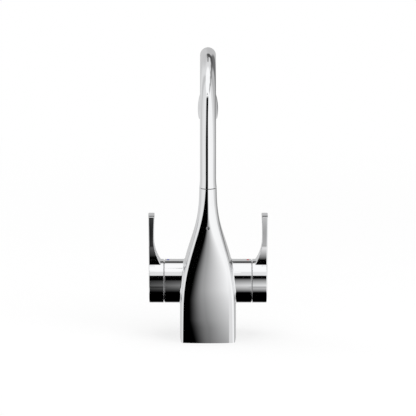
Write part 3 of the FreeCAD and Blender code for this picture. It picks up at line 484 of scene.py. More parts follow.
def blade_half(z):
    """Half breadth of the blade: an edge that spreads straight upwards, tangent to an arc that
    sweeps from the neck out to the hub."""
    neck_z = ARM_AXIS_Z + ARM_RADIUS + BLADE_NECK_RISE
    centre = BLADE_NECK_HALF + BLADE_NECK_ARC
    corner_z = crown_z(BLADE_TOP_HALF)
    away, up = centre - BLADE_TOP_HALF, corner_z - neck_z
    spread = math.atan2(up, away) - math.acos(BLADE_NECK_ARC / math.hypot(away, up))
    tangent_z = neck_z + BLADE_NECK_ARC * math.sin(spread)
    sweep = centre - np.sqrt(BLADE_NECK_ARC ** 2 - (np.minimum(z, tangent_z) - neck_z) ** 2)
    return np.where(z > tangent_z, BLADE_TOP_HALF - (corner_z - z) * math.tan(spread), sweep)


def blade_section(z):
    """Inner face, outer face and half breadth of the blade at a height.

    The inner face is an arc that leaves the waist upright and gains the flare at each end.
    """
    waist = outer_x(BLADE_WAIST_Z) - BLADE_THICK
    hub_top = ARM_AXIS_Z + ARM_RADIUS
    up = z - BLADE_WAIST_Z
    span = np.where(up > 0, LEVER_TOP_Z, hub_top) - BLADE_WAIST_Z
    flare = np.where(up > 0, BLADE_TOP_FLARE, BLADE_ROOT_FLARE)
    radius = (flare ** 2 + span ** 2) / (2 * flare)
    inner = waist - (radius - np.sqrt(radius ** 2 - up ** 2))
    return inner, outer_x(z), blade_half(z)


def blade_point(a, t):
    """Point of the blade at +X: a counts its four faces and four rounded corners, t runs from the
    hub to the top edge at 1 and over that edge's round to 2."""
    a, t = np.broadcast_arrays(a, t)
    side = np.floor(a / 2) % 4
    along = a / 2 - np.floor(a / 2)
    on_face = along < 0.5
    x_side = np.where((side == 0) | (side == 3), 1.0, -1.0)
    y_side = np.where(side < 2, 1.0, -1.0)
    hub_top = ARM_AXIS_Z + ARM_RADIUS
    edge = np.clip(t - 1, 0, 1) * math.pi / 2
    inset = BLADE_ROUND * (1 - np.cos(edge))
    corner_angle = np.where(on_face, 0, (along - 0.5) * math.pi) + side * math.pi / 2
    z = np.full(a.shape, hub_top)
    y = np.zeros(a.shape)
    for _ in range(8):
        inner, outer, half = blade_section(z)
        middle = (inner + outer) / 2
        thick = (outer - inner) / 2 - inset
        broad = half - inset
        sharp = BLADE_ROUND - inset
        flat_x, flat_y = thick - sharp, broad - sharp
        share = along * 4 - 1
        x_on = np.select([side == 0, side == 1, side == 2], [thick, -share * flat_x, -thick], share * flat_x)
        y_on = np.select([side == 0, side == 1, side == 2], [share * flat_y, broad, -share * flat_y], -broad)
        x_round = x_side * flat_x + sharp * np.cos(corner_angle)
        y_round = y_side * flat_y + sharp * np.sin(corner_angle)
        x = middle + np.where(on_face, x_on, x_round)
        y = np.where(on_face, y_on, y_round)
        foot = ARM_AXIS_Z + np.sqrt((ARM_RADIUS - BLADE_ROUND) ** 2 - y ** 2)
        top = crown_z(y) - BLADE_ROUND
        z = foot + (top - foot) * np.minimum(t, 1) + BLADE_ROUND * np.sin(edge)
    return np.stack([x, y, z], -1)


def grub_hole(turn, s):
    """Edge of the grub screw's hole, under the hub."""
    side_start = outer_x(ARM_AXIS_Z - ARM_RADIUS) - BLADE_ROUND
    side_end = HUB_START + RIM_ROUND
    x = side_start + (side_end - side_start) * (s - 2)
    around = np.arctan2(ARM_RADIUS * (turn - math.pi), x - GRUB_X)
    hole_turn = math.pi + GRUB_HOLE_RADIUS * np.sin(around) / ARM_RADIUS
    hole_x = GRUB_X + GRUB_HOLE_RADIUS * np.cos(around)
    return hole_turn, 2 + (side_start - hole_x) / (side_start - side_end)


def lever_patches():
    """Hub and blade of the lever at +X. The blade stands on the hub's rounded outer edge."""
    turn = np.linspace(0, 2 * math.pi, HUB_CELLS + 1)
    low, high = HUB_CELLS // 2 - 8, HUB_CELLS // 2 + 8
    side_s = np.linspace(2, 3, 9)
    face = hub_point(turn, np.array([[0], [0.999], [1]]))
    lean = LEVER_LEAN / (LEVER_TOP_Z - ARM_AXIS_Z + ARM_RADIUS)
    patches = [
        (face, np.zeros_like(face) + np.array([1, 0, -lean]) / math.hypot(1, lean)),
        with_normals(hub_point, turn, np.linspace(1, 2, 8)[:, None]),
        with_normals(hub_point, turn[: low + 1], side_s[:, None]),
        with_normals(hub_point, turn[high:], side_s[:, None]),
        holed_patch(hub_point, turn[low: high + 1], side_s, grub_hole, 10),
        with_normals(hub_point, turn, np.concatenate([np.linspace(3, 4, 6), [5]])[:, None]),
    ]
    a = []
    for side in range(4):
        a.extend(np.linspace(2 * side, 2 * side + 1, BLADE_FACE_CELLS + 1)[:-1])
        a.extend(np.linspace(2 * side + 1, 2 * side + 2, BLADE_CORNER_CELLS + 1)[:-1])
    a = np.array(a + [8.0])
    t = np.concatenate([np.linspace(0, 1, 61), np.linspace(1, 1.98, 9)[1:]])
    shaft = with_normals(blade_point, a, t[:, None])
    rim = shaft[0][-1]
    share = np.linspace(1, 0, 9)[:, None, None]
    cap = rim.mean(0) + (rim - rim.mean(0)) * share
    cap[..., 2] = crown_z(cap[..., 1])
    cap_up = np.stack([0 * cap[..., 1], cap[..., 1], cap[..., 2] - LEVER_TOP_Z + BLADE_CROWN], -1)
    foot = shaft[0][0]
    sole = np.stack([np.zeros_like(foot) + [foot[:, 0].mean(), 0, ARM_AXIS_Z + ARM_BORE_RADIUS + 1], foot])
    patches += [
        shaft,
        (cap, cap_up / BLADE_CROWN),
        (sole, np.zeros_like(sole) + [0, 0, -1]),
    ]
    return patches


# ---- spout and outlet ----
def spout_path(distance):
    """The spout's centre line: straight up to the arch's start, then round the arch."""
    rise = ARCH_START_Z - SPOUT_FOOT_Z
    angle = np.maximum(distance - rise, 0) / ARCH_RADIUS
    zero = np.zeros_like(angle)
    out = np.stack([zero, np.cos(angle), np.sin(angle)], -1)
    along = np.stack([zero, -np.sin(angle), np.cos(angle)], -1)
    height = np.minimum(distance, rise) - rise
    centre = np.array([0, -ARCH_RADIUS, ARCH_START_Z]) + ARCH_RADIUS * out
    centre[:, 2] += height
    return centre, np.array([1.0, 0, 0]) + 0 * out, out, along


def spout_patches():
    """The arched tube with its flared foot and its bore."""
    rise = ARCH_START_Z - SPOUT_FOOT_Z
    end = rise + ARCH_RADIUS * ARCH_TURN
    foot_side = SPOUT_FOOT_RADIUS - RIM_ROUND
    waist = SPOUT_RADIUS + (SPOUT_FOOT_RADIUS - SPOUT_RADIUS) / 4
    return swept([
        line((SPOUT_BORE, 0), (foot_side, 0)),
        arc((foot_side, RIM_ROUND), RIM_ROUND, -90, 0),
        arc_through(
            (SPOUT_FOOT_RADIUS, RIM_ROUND), (waist, FOOT_LENGTH / 2), (SPOUT_RADIUS, FOOT_LENGTH), 12
        ),
        line((SPOUT_RADIUS, FOOT_LENGTH), (SPOUT_RADIUS, rise)),
        line((SPOUT_RADIUS, rise), (SPOUT_RADIUS, end), ARCH_ROWS),
        line((SPOUT_RADIUS, end), (SPOUT_BORE, end)),
        line((SPOUT_BORE, end), (SPOUT_BORE, rise), ARCH_ROWS),
        line((SPOUT_BORE, rise), (SPOUT_BORE, 0)),
    ], spout_path)


def outlet_path():
    """The straight path up the outlet's axis, from the middle of its mouth."""
    tilt = math.pi - ARCH_TURN
    up = np.array([0, math.sin(tilt), math.cos(tilt)])
    arch_end = spout_path(np.array([ARCH_START_Z - SPOUT_FOOT_Z + ARCH_RADIUS * ARCH_TURN]))[0][0]
    return straight(arch_end - up * NOZZLE_LENGTH, up, (1, 0, 0))


def nozzle_patches():
    """The barrel of the outlet, with its spigot, bore and seat."""
    neck_top = NOZZLE_LENGTH - RIM_ROUND
    spigot_top = NOZZLE_LENGTH + NOZZLE_SPIGOT
    return swept([
        line((MOUTH_BORE, 0), (NOZZLE_MOUTH - MOUTH_ROUND, 0)),
        arc((NOZZLE_MOUTH - MOUTH_ROUND, MOUTH_ROUND), MOUTH_ROUND, -90, 0, 12),
        arc_through(
            (NOZZLE_MOUTH, MOUTH_ROUND), (NOZZLE_BELLY, NOZZLE_BELLY_AT), (NOZZLE_NECK, neck_top), 40
        ),
        arc((NOZZLE_NECK - RIM_ROUND, neck_top), RIM_ROUND, 0, 90),
        line((NOZZLE_NECK - RIM_ROUND, NOZZLE_LENGTH), (NOZZLE_SPIGOT_RADIUS, NOZZLE_LENGTH)),
        line((NOZZLE_SPIGOT_RADIUS, NOZZLE_LENGTH), (NOZZLE_SPIGOT_RADIUS, spigot_top)),
        line((NOZZLE_SPIGOT_RADIUS, spigot_top), (NOZZLE_BORE, spigot_top)),
        line((NOZZLE_BORE, spigot_top), (NOZZLE_BORE, AERATOR_SEAT)),
        line((NOZZLE_BORE, AERATOR_SEAT), (MOUTH_BORE, AERATOR_SEAT)),
        line((MOUTH_BORE, AERATOR_SEAT), (MOUTH_BORE, 0)),
    ], outlet_path())


# ---- finishes ----
def group(name, sockets):
    """An empty shader node group with its named sockets, its nodes and its links."""
    tree = bpy.data.node_groups.new(name, "ShaderNodeTree")
    for socket, way, kind, value in sockets:
        made = tree.interface.new_socket(socket, in_out=way, socket_type="NodeSocket" + kind)
        if value is not None:
            made.default_value = value
    return tree, tree.nodes.new("NodeGroupInput").outputs, tree.nodes.new("NodeGroupOutput").inputs


def add(tree, kind, inputs=(), **settings):
    """A node with its settings; each input is a value or the output that feeds it."""
    node = tree.nodes.new("ShaderNode" + kind)
    for name, value in settings.items():
        setattr(node, name, value)
    for socket, value in dict(inputs).items():
        if isinstance(value, bpy.types.NodeSocket):
            tree.links.new(value, node.inputs[socket])
        else:
            node.inputs[socket].default_value = value
    return node


def hairlines():
    """Fine wiping scratches: stretched noise in two directions, as a mask and as a height."""
    tree, given, result = group("hairlines", [
        ("Place", "INPUT", "Vector", None),
        ("Fineness", "INPUT", "Float", 900.0),
        ("Amount", "INPUT", "Float", 0.5),
        ("Mask", "OUTPUT", "Float", None),
        ("Height", "OUTPUT", "Float", None),
    ])
    strands = []
    for turn, stretch in (((0.3, 0.2, 0.5), (1, 0.05, 1)), ((0.1, 0.7, 1.9), (0.06, 1, 1))):
        placed = add(tree, "Mapping", {0: given["Place"], "Rotation": turn, "Scale": stretch})
        fine = {"Vector": placed.outputs[0], "Scale": given["Fineness"], "Detail": 3.0}
        noise = add(tree, "TexNoise", fine)
        strands.append(add(tree, "MapRange", {0: noise.outputs[0], 1: 0.56, 2: 0.74}).outputs[0])
    both = add(tree, "Math", {0: strands[0], 1: strands[1]}, operation="MAXIMUM")
    scaled = add(tree, "Math", {0: both.outputs[0], 1: given["Amount"]}, operation="MULTIPLY")
    tree.links.new(scaled.outputs[0], result["Mask"])
    sunk = add(tree, "Math", {0: 0.0, 1: scaled.outputs[0]}, operation="SUBTRACT")
    tree.links.new(sunk.outputs[0], result["Height"])
    return tree


def water_film():
    """Dried film and finger smudges: broad soft patches with a finer mottle inside them."""
    tree, given, result = group("water_film", [
        ("Place", "INPUT", "Vector", None),
        ("Size", "INPUT", "Float", 30.0),
        ("Amount", "INPUT", "Float", 0.5),
        ("Mask", "OUTPUT", "Float", None),
    ])
    patch = add(tree, "TexNoise", {"Vector": given["Place"], "Scale": given["Size"], "Detail": 2.0})
    edge = add(tree, "MapRange", {0: patch.outputs[0], 1: 0.48, 2: 0.66}, interpolation_type="SMOOTHSTEP")
    finer = add(tree, "Math", {0: given["Size"], 1: 14.0}, operation="MULTIPLY")
    mottle = add(tree, "TexNoise", {"Vector": given["Place"], "Scale": finer.outputs[0], "Detail": 4.0})
    film = add(tree, "Math", {0: edge.outputs[0], 1: mottle.outputs[0]}, operation="MULTIPLY")
    scaled = add(tree, "Math", {0: film.outputs[0], 1: given["Amount"]}, operation="MULTIPLY")
    tree.links.new(scaled.outputs[0], result["Mask"])
    return tree


def grain():
    """Cast, machined or moulded grain: noise stretched along the given scale."""
    tree, given, result = group("surface_grain", [
        ("Place", "INPUT", "Vector", None),
        ("Stretch", "INPUT", "Vector", (1.0, 1.0, 1.0)),
        ("Fineness", "INPUT", "Float", 400.0),
        ("Value", "OUTPUT", "Float", None),
    ])
    placed = add(tree, "Mapping", {0: given["Place"], "Scale": given["Stretch"]})
    noise = add(tree, "TexNoise", {"Vector": placed.outputs[0], "Scale": given["Fineness"], "Detail": 5.0})
    tree.links.new(noise.outputs[0], result["Value"])
    return tree


HAIRLINES = hairlines()
WATER_FILM = water_film()
GRAIN = grain()


def finish(name, **shader_values):
    """A material with its shader's plain values, its node tree and the place on the piece."""
    material = bpy.data.materials.new(name)
    material.use_nodes = True
    tree = material.node_tree
    shader = tree.nodes["Principled BSDF"]
    for socket, value in shader_values.items():
        shader.inputs[socket.replace("_", " ")].default_value = value
    return material, tree, shader, add(tree, "TexCoord").outputs["Object"]


def spread(tree, mask, low, high):
    """A value that runs from low to high with a mask."""
    return add(tree, "MapRange", {0: mask, 3: low, 4: high}).outputs[0]


def tint(tree, mask, low, high):
    """A colour that runs between two colours with a mask."""
    mix = add(tree, "Mix", {0: mask, 6: (*low, 1), 7: (*high, 1)}, data_type="RGBA")
    return mix.outputs[2]


def emboss(tree, shader, height, strength, distance):
    """Puts a height on the shader as a bump."""
    bump = add(tree, "Bump", {"Height": height, "Strength": strength, "Distance": distance})
    tree.links.new(bump.outputs[0], shader.inputs["Normal"])


def plated(name, colour, film_colour, roughness, scratch):
    """Mirror-bright chrome plate with wiping scratches and a trace of dried water film."""
    material, tree, shader, place = finish(name, Metallic=1.0)
    lines = add(tree, "Group", {"Place": place, "Fineness": 1100.0, "Amount": scratch}, node_tree=HAIRLINES)
    film = add(tree, "Group", {"Place": place, "Size": 34.0, "Amount": 0.5}, node_tree=WATER_FILM)
    both = add(tree, "Math", {0: lines.outputs["Mask"], 1: film.outputs["Mask"]}, operation="ADD")
    tree.links.new(spread(tree, both.outputs[0], roughness, roughness + 0.07), shader.inputs["Roughness"])
    tree.links.new(tint(tree, film.outputs["Mask"], colour, film_colour), shader.inputs["Base Color"])
    emboss(tree, shader, lines.outputs["Height"], 0.05, 0.00002)
    return material


def grained(
    name, colour, dark, roughness, metallic=0.0, stretch=(1, 1, 1), fineness=400.0, bump=0.2, **values
):
    """A plain stuff with grain in its colour, roughness and relief, and a little wear on its face."""
    material, tree, shader, place = finish(name, Metallic=metallic, **values)
    given = {"Place": place, "Stretch": stretch, "Fineness": fineness}
    texture = add(tree, "Group", given, node_tree=GRAIN)
    film = add(tree, "Group", {"Place": place, "Size": 60.0, "Amount": 0.7}, node_tree=WATER_FILM)
    tree.links.new(tint(tree, texture.outputs["Value"], dark, colour), shader.inputs["Base Color"])
    worn = add(tree, "Math", {0: texture.outputs["Value"], 1: film.outputs["Mask"]}, operation="ADD")
    low, high = roughness
    tree.links.new(spread(tree, worn.outputs[0], low, high), shader.inputs["Roughness"])
    emboss(tree, shader, texture.outputs["Value"], bump, 0.00005)
    return material


def along(tree, place, axis, start, end):
    """A mask that rises along one axis between two places."""
    part = add(tree, "SeparateXYZ", {0: place}).outputs[axis]
    return add(tree, "MapRange", {0: part, 1: start, 2: end}).outputs[0]


def seam_shaded_brass(name):
    """Turned brass with a near-black band of painted shade where the spout's seam opens on it."""
    material, tree, shader, place = finish(name, Metallic=1.0, Roughness=0.3)
    texture = add(tree, "Group", {"Place": place, "Stretch": (1, 1, 12), "Fineness": 260.0}, node_tree=GRAIN)
    brass = tint(tree, texture.outputs["Value"], (0.62, 0.45, 0.20), (0.80, 0.60, 0.30))
    from_below = along(tree, place, "Z", (BODY_HEIGHT - 1.3) * MM, (BODY_HEIGHT - 0.8) * MM)
    from_above = along(tree, place, "Z", (SPOUT_FOOT_Z + 1.4) * MM, (SPOUT_FOOT_Z + 0.9) * MM)
    # painted seam shade: the stem turns near black between these two heights, where the seam's gap opens
    painted_seam_shade = add(tree, "Math", {0: from_below, 1: from_above}, operation="MULTIPLY").outputs[0]
    mix = add(tree, "Mix", {0: painted_seam_shade, 6: brass, 7: (0.012, 0.012, 0.012, 1)}, data_type="RGBA")
    tree.links.new(mix.outputs[2], shader.inputs["Base Color"])
    emboss(tree, shader, texture.outputs["Value"], 0.2, 0.00005)
    return material


def seam_shaded_ring(name):
    """A plastic glide ring whose outer edge, seen in the seam by the lever hub, is drawn as dull grey metal
    as painted seam shade.
    """
    material, tree, shader, place = finish(name)
    texture = add(tree, "Group", {"Place": place, "Fineness": 500.0}, node_tree=GRAIN)
    plastic = tint(tree, texture.outputs["Value"], (0.80, 0.80, 0.79), (0.86, 0.86, 0.85))
    level = add(tree, "Mapping", {0: place, "Location": (0, 0, -ARM_AXIS_Z * MM), "Scale": (0, 1, 1)})
    radius = add(tree, "VectorMath", {0: level.outputs[0]}, operation="LENGTH").outputs["Value"]
    # the outer edge band is painted seam shade: dim grey metal in place of the white plastic
    painted_shade_band = {0: radius, 1: (ARM_RADIUS - 1.4) * MM, 2: (ARM_RADIUS - 1.2) * MM}
    edge = add(tree, "MapRange", painted_shade_band).outputs[0]
    mix = add(tree, "Mix", {0: edge, 6: plastic, 7: (0.60, 0.60, 0.61, 1)}, data_type="RGBA")
    tree.links.new(mix.outputs[2], shader.inputs["Base Color"])
    tree.links.new(edge, shader.inputs["Metallic"])
    tree.links.new(spread(tree, edge, 0.4, 0.12), shader.inputs["Roughness"])
    return material


CHROME = plated("polished_chrome", (0.90, 0.905, 0.915), (0.86, 0.865, 0.87), 0.03, 0.35)
BORE = grained("plated_bore", (0.62, 0.62, 0.63), (0.42, 0.42, 0.43), (0.25, 0.45), 1.0, (1, 1, 1), 900.0)
FINISHES = {
    "polished_chrome": CHROME,
    "brass": grained(
        "turned_brass", (0.80, 0.60, 0.30), (0.62, 0.45, 0.20), (0.18, 0.34), 1.0, (1, 1, 12), 260.0
    ),
    "stainless_steel": grained(
        "satin_steel", (0.66, 0.66, 0.67), (0.52, 0.52, 0.53), (0.16, 0.32), 1.0, (1, 1, 10), 300.0
    ),
    "ceramic": grained("lapped_ceramic", (0.92, 0.91, 0.88), (0.86, 0.85, 0.82), (0.12, 0.20), bump=0.05),
    "rubber": grained("seal_rubber", (0.032, 0.032, 0.032), (0.022, 0.022, 0.023), (0.45, 0.62), bump=0.3),
    "white_plastic": grained(
        "glide_plastic", (0.86, 0.86, 0.85), (0.80, 0.80, 0.79), (0.32, 0.44), Specular_IOR_Level=0.45
    ),
    "grey_plastic": grained("aerator_plastic", (0.36, 0.37, 0.38), (0.30, 0.31, 0.32), (0.34, 0.48)),
    "hot_mark": grained(
        "red_enamel", (0.56, 0.01, 0.02), (0.48, 0.006, 0.012), (0.3, 0.4),
        bump=0.03, Specular_IOR_Level=0.05,
    ),
    "cold_mark": grained(
        "blue_enamel", (0.010, 0.035, 0.42), (0.006, 0.025, 0.34), (0.3, 0.4),
        bump=0.03, Specular_IOR_Level=0.05,
    ),
}
RING = seam_shaded_ring("glide_plastic_painted_seam_shade")
# the stem and the glide rings get materials with painted shade where their seams open
PAINTED_SEAM_SHADE = {"spout_stem": seam_shaded_brass("brass_painted_seam_shade"), "hot_glide_ring": RING, "cold_glide_ring": RING}
for row in frame["record"]["subparts"]:
    mesh = frame["nodes"][row["node"]].data
    mesh.materials.clear()
    mesh.materials.append(PAINTED_SEAM_SHADE.get(row["node"]) or FINISHES[row["material_slot"]])

# ---- the pieces ----
make_piece("column", body_patches(), "body", ["body_casting"], [CHROME, BORE], ["body_casting"])
make_piece("spout", spout_patches(), "spout", ["spout_tube"], [CHROME])
make_piece("outlet", nozzle_patches(), "spout", ["nozzle_shell"], [CHROME])
COLD_SIDE = lever_patches()
for temperature, lever in (("cold", COLD_SIDE), ("hot", mirrored(COLD_SIDE))):
    node = temperature + "_lever"
    make_piece(temperature + "_handle", lever, node, [node], [CHROME, BORE], [node])

# ---- studio: what the chrome sees, by compass and height from the tap ----
# Azimuth 0 is straight behind the tap and grows towards the hot side; brightness 1 is white paper.
ROOM = 0.78
SHADOW_REACH = 0.25       # metres from the tap where the floor starts to turn plain white
WHITE_FROM = 1.0
FLOOR_REACH = 8.0
SOFT_BOXES = [
    # azimuth, half width, elevation, half height, soft edge, brightness
    (-165, 25, 10, 40, 10, 0.62),
    (-112, 9, 20, 45, 5, 0.60),
    (-62, 16, 10, 45, 6, 0.86),
    (40, 38, 20, 60, 6, 1.00),
    (92, 14, 10, 40, 8, 0.74),
    (118, 14, 10, 45, 8, 0.50),
    (148, 14, 10, 30, 6, 0.17),
    (172, 12, 8, 30, 5, 0.54),
    (0, 400, 90, 26, 4, 1.06),
]
DARK_FLAGS = [
    (-17.5, 14.5, 25, 46, 1.5, 0.0),
    (0, 3, 33.5, 9.5, 1.5, 0.0),
    (150, 8, 33, 9, 5, 0.10),
    (138, 9, 43, 6, 5, 0.13),
    (124, 10, 53, 7, 5, 0.22),
    (104, 16, 62, 5, 4, 0.30),
    (68, 22, 69, 4, 3, 0.40),
    (0, 400, -90, 47, 3, 0.0),
]


def studio_glow(tree):
    """Brightness by direction: each soft box or flag is laid over the ones before it."""
    way = add(tree, "SeparateXYZ", {0: add(tree, "TexCoord").outputs["Generated"]}).outputs
    left = add(tree, "Math", {0: way["X"], 1: -1.0}, operation="MULTIPLY")
    turn = add(tree, "Math", {0: left.outputs[0], 1: way["Y"]}, operation="ARCTAN2")
    azimuth = add(tree, "Math", {0: turn.outputs[0]}, operation="DEGREES").outputs[0]
    rise = add(tree, "Math", {0: way["Z"]}, operation="ARCSINE")
    elevation = add(tree, "Math", {0: rise.outputs[0]}, operation="DEGREES").outputs[0]
    glow = ROOM
    for at, half, height, tall, edge, level in SOFT_BOXES + DARK_FLAGS:
        masks = []
        for angle, middle, reach in ((azimuth, at, half), (elevation, height, tall)):
            off = add(tree, "Math", {0: angle, 1: float(middle)}, operation="SUBTRACT").outputs[0]
            if angle is azimuth:
                off = add(tree, "Math", {0: off, 1: 180.0, 2: -180.0}, operation="WRAP").outputs[0]
            off = add(tree, "Math", {0: off}, operation="ABSOLUTE").outputs[0]
            given = {0: off, 1: float(reach - edge), 2: float(reach + edge), 3: 1.0, 4: 0.0}
            masks.append(add(tree, "MapRange", given, interpolation_type="SMOOTHSTEP").outputs[0])
        mask = add(tree, "Math", {0: masks[0], 1: masks[1]}, operation="MULTIPLY").outputs[0]
        glow = add(tree, "Mix", {0: mask, 2: glow, 3: level}, data_type="FLOAT").outputs[0]
    return glow


def studio():
    """White to the camera, the soft boxes to polished metal, and a plain level to the rest."""
    world = bpy.data.worlds.new("studio")
    bpy.context.scene.world = world
    world.use_nodes = True
    tree = world.node_tree
    plain = tree.nodes["Background"]
    plain.inputs["Color"].default_value = (1, 1, 1, 1)
    plain.inputs["Strength"].default_value = 0.55
    seen = add(tree, "Background", {"Color": (1, 1, 1, 1), "Strength": 1.0})
    boxes = add(tree, "Background", {"Strength": studio_glow(tree)})
    boxes.inputs["Color"].default_value = (1, 1, 1, 1)
    rays = add(tree, "LightPath").outputs
    either = {0: rays["Is Camera Ray"], 1: rays["Is Transmission Ray"]}
    straight_on = add(tree, "Math", either, operation="MAXIMUM")
    first = add(tree, "MixShader", {0: rays["Is Glossy Ray"], 1: plain.outputs[0], 2: boxes.outputs[0]})
    last = add(tree, "MixShader", {0: straight_on.outputs[0], 1: first.outputs[0], 2: seen.outputs[0]})
    tree.links.new(last.outputs[0], tree.nodes["World Output"].inputs[0])


def studio_mesh(name, points, quads, material, **rays):
    """A studio mesh: floor or reflector, with the kinds of ray that see it."""
    mesh = bpy.data.meshes.new(name)
    mesh.from_pydata(points, [], quads)
    mesh.materials.append(material)
    stage = bpy.data.objects.new(name, mesh)
    for ray, seen in rays.items():
        setattr(stage, "visible_" + ray, seen)
    bpy.context.scene.collection.objects.link(stage)
    return stage


def board(name, across, up, depth, brightness, widens=0):
    """A graduated reflector board at a depth from the tap's axis, seen only in the polished metal.

    Its brightness is a function of the place across (towards the hot side) and of the height, in
    millimetres, chosen so that the chrome's tones are near the photograph's. One that widens fans
    out above the spout's straight part on its cold side.
    """
    image_x, z = np.meshgrid(across, up)
    image_x = image_x * np.where(image_x < 0, 1 + 0.0105 * np.maximum(z - 262, 0) * widens, 1)
    level = brightness(image_x, z).ravel()
    rows, columns = image_x.shape
    corner = np.arange(rows * columns).reshape(rows, columns)
    quads = np.stack([corner[:-1, :-1], corner[1:, :-1], corner[1:, 1:], corner[:-1, 1:]], -1).reshape(-1, 4)
    points = np.stack([-image_x, 0 * z + depth, z], -1).reshape(-1, 3) * MM
    material = bpy.data.materials.new(name)
    material.use_nodes = True
    tree = material.node_tree
    tree.nodes.remove(tree.nodes["Principled BSDF"])
    glow = add(tree, "Attribute", attribute_name="glow")
    lit = add(tree, "Emission", {"Color": glow.outputs["Color"], "Strength": 1.0})
    tree.links.new(lit.outputs[0], tree.nodes["Material Output"].inputs[0])
    material.cycles.emission_sampling = "NONE"
    stage = studio_mesh(
        name, points.tolist(), quads.tolist(), material,
        camera=False, diffuse=False, transmission=False, shadow=False, volume_scatter=False,
    )
    colours = np.stack([level, level, level, np.ones_like(level)], -1)
    stage.data.color_attributes.new("glow", "FLOAT_COLOR", "POINT").data.foreach_set("color", colours.ravel())


def soft_step(value, start, end):
    """A soft edge: 0 before its start, 1 past its end."""
    share = np.clip((value - start) / (end - start), 0, 1)
    return share * share * (3 - 2 * share)


def far_glow(x, z):
    """The far board: brightest near the worktop, fading up and down, and dim on the cold side.

    A softer patch on each side dims the hubs' lower bands, and past the levers it is nearly white.
    """
    peak, reach_up, reach_down = 12, 268, 362
    above = np.clip((z - peak) / reach_up, 0, 1)
    below = np.clip((peak - z) / reach_down, 0, 1)
    fade = (1 - above) ** 0.9 * (1 - below) ** 1.15
    cold_end, middle_grey = -75.5, 0.45
    cold_side = np.where(x > cold_end, middle_grey * np.exp(x / 48), 0)
    hot_side = 1.02 - (1.02 - middle_grey) * np.exp(-x / 73)
    patch = soft_step(np.abs(x), 50, 58) * np.exp(-((z + 54) / 26) ** 2)
    cold = cold_side * (1 - 0.72 * patch) * fade ** 1.4 * np.clip((218 - z) / 40, 0, 1)
    hot = hot_side * (1 - 0.38 * patch) * fade
    past_levers = soft_step(x, 79, 87) * np.clip(0.87 + 0.001 * z, 0, 1)
    return np.maximum(np.where(x < 0, cold, hot), past_levers)


def near_glow(x, z):
    """The near board: a soft edge from black to the middle grey, then an even ramp to white.

    Both close from the arms up to the shoulder. The middle grey swings to the cold side at the
    arms, all of it slides to the hot side at the foot, and the board dims downwards.
    """
    shoulder, widest, arms, foot = 152.5, 48, 64, 20
    closing = np.clip((shoulder - z) / (shoulder - widest), 0, 1)
    slide = 0.3 * np.maximum(foot - z, 0)
    swing = 8.4 * np.exp(-((z - arms) / 57) ** 2)
    black_to = slide - 1 - 27 * closing ** 0.5
    white_from = 5.2 + 30 * closing ** 0.4
    middle = np.minimum(2.6 - swing + slide, 0.06 * white_from)
    ramp = np.clip((x - middle) / (white_from - middle), 0, 1.04)
    middle_grey = 0.36
    glow = middle_grey * soft_step(x, black_to, middle) + (1 - middle_grey) * ramp
    return glow * np.clip(0.52 + 0.0076 * z, 0.3, 1)


def slit_glow(x, z):
    """The slit board: a sharp edge from black to white, which draws the black line up the spout."""
    edge = 12.4 * soft_step(z, 285, 440) - 0.4
    above = np.clip((z - 412) / 36, 0, 1)
    white = 1.03 * (1 - np.exp(-np.maximum(x - edge, 0) / 1.2))
    return white * (1 - above) + above


def arm_bar_glow(x, z):
    """The bar over the arms: nearly black from end to end."""
    return 0 * x + 0.03


def arch_bar_glow(x, z):
    """The bar over the arch: dark, and lighter past its cold end."""
    return 0.09 + 0.45 * soft_step(-x, 60, 180)


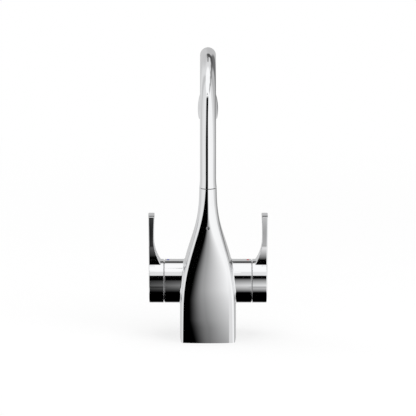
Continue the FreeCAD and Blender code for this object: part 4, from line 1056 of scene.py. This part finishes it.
def floor():
    """A pale worktop that keeps the tap's shadow and fades to plain white."""
    material = bpy.data.materials.new("pale_floor")
    material.use_nodes = True
    tree = material.node_tree
    shader = tree.nodes["Principled BSDF"]
    shader.inputs["Base Color"].default_value = (0.93, 0.93, 0.93, 1)
    shader.inputs["Roughness"].default_value = 0.9
    shader.inputs["Specular IOR Level"].default_value = 0.0
    white = add(tree, "Emission", {"Color": (1, 1, 1, 1), "Strength": 1.0})
    rays = add(tree, "LightPath").outputs
    place = add(tree, "TexCoord").outputs["Object"]
    distance = add(tree, "VectorMath", {0: place}, operation="LENGTH").outputs["Value"]
    whiter = {0: distance, 1: SHADOW_REACH, 2: WHITE_FROM, 3: 0.72, 4: 1.0}
    far = add(tree, "MapRange", whiter, interpolation_type="SMOOTHSTEP").outputs[0]
    share = add(tree, "Math", {0: rays["Is Camera Ray"], 1: far}, operation="MULTIPLY")
    mix = add(tree, "MixShader", {0: share.outputs[0], 1: shader.outputs[0], 2: white.outputs[0]})
    tree.links.new(mix.outputs[0], tree.nodes["Material Output"].inputs[0])
    reach = FLOOR_REACH
    points = [(-reach, -reach, 0), (reach, -reach, 0), (reach, reach, 0), (-reach, reach, 0)]
    studio_mesh("floor", points, [(0, 1, 2, 3)], material, glossy=False)


def lamp(name, place, aim, size, power):
    """A soft square lamp that the polished metal doesn't show."""
    light = bpy.data.objects.new(name, bpy.data.lights.new(name, "AREA"))
    light.data.size = size
    light.data.energy = power
    light.location = place
    light.rotation_euler = (Vector(aim) - Vector(place)).to_track_quat("-Z", "Y").to_euler()
    light.visible_glossy = False
    bpy.context.scene.collection.objects.link(light)


studio()
board("far_board", np.linspace(-130, 150, 71), np.linspace(-350, 280, 127), 400, far_glow)
board("near_board", np.linspace(-31, 31, 63), np.linspace(-60, 152, 107), 65, near_glow)
board("shoulder_board", np.linspace(-31, 40, 143), np.linspace(152, 172, 11), 65, near_glow)
board("slit_board", np.linspace(-20.5, 24, 179), np.linspace(164, 460, 75), 40, slit_glow, 1)
board("arm_bar", np.linspace(-73, 73, 9), np.linspace(1020, 1560, 12), -1000, arm_bar_glow)
board("arch_bar", np.linspace(-260, 540, 41), np.linspace(850, 1090, 12), -1000, arch_bar_glow)
floor()
lamp("overhead", (0.0, 0.2, 1.7), (0, 0, 0.1), 1.6, 14)
lamp("hot_side", (-1.5, 0.9, 1.1), (0, 0, 0.1), 1.0, 9)
lamp("cold_side", (1.5, -0.6, 1.1), (0, 0, 0.1), 1.0, 6)

# ---- camera, at the photograph's height and frame ----
PIXEL = 0.0012
IMAGE_SIDE = 416
DISTANCE = 6.0
AIM_Z = 0.1593
ELEVATION = math.radians(15)
camera = bpy.data.objects.new("camera", bpy.data.cameras.new("camera"))
camera.data.lens = 36 * DISTANCE / (IMAGE_SIDE * PIXEL)
camera.data.clip_end = 50
camera.location = (0, DISTANCE * math.cos(ELEVATION), AIM_Z + DISTANCE * math.sin(ELEVATION))
camera.rotation_euler = (math.pi / 2 - ELEVATION, 0, math.pi)
bpy.context.scene.collection.objects.link(camera)
bpy.context.scene.camera = camera
bpy.context.scene.view_settings.view_transform = "Standard"
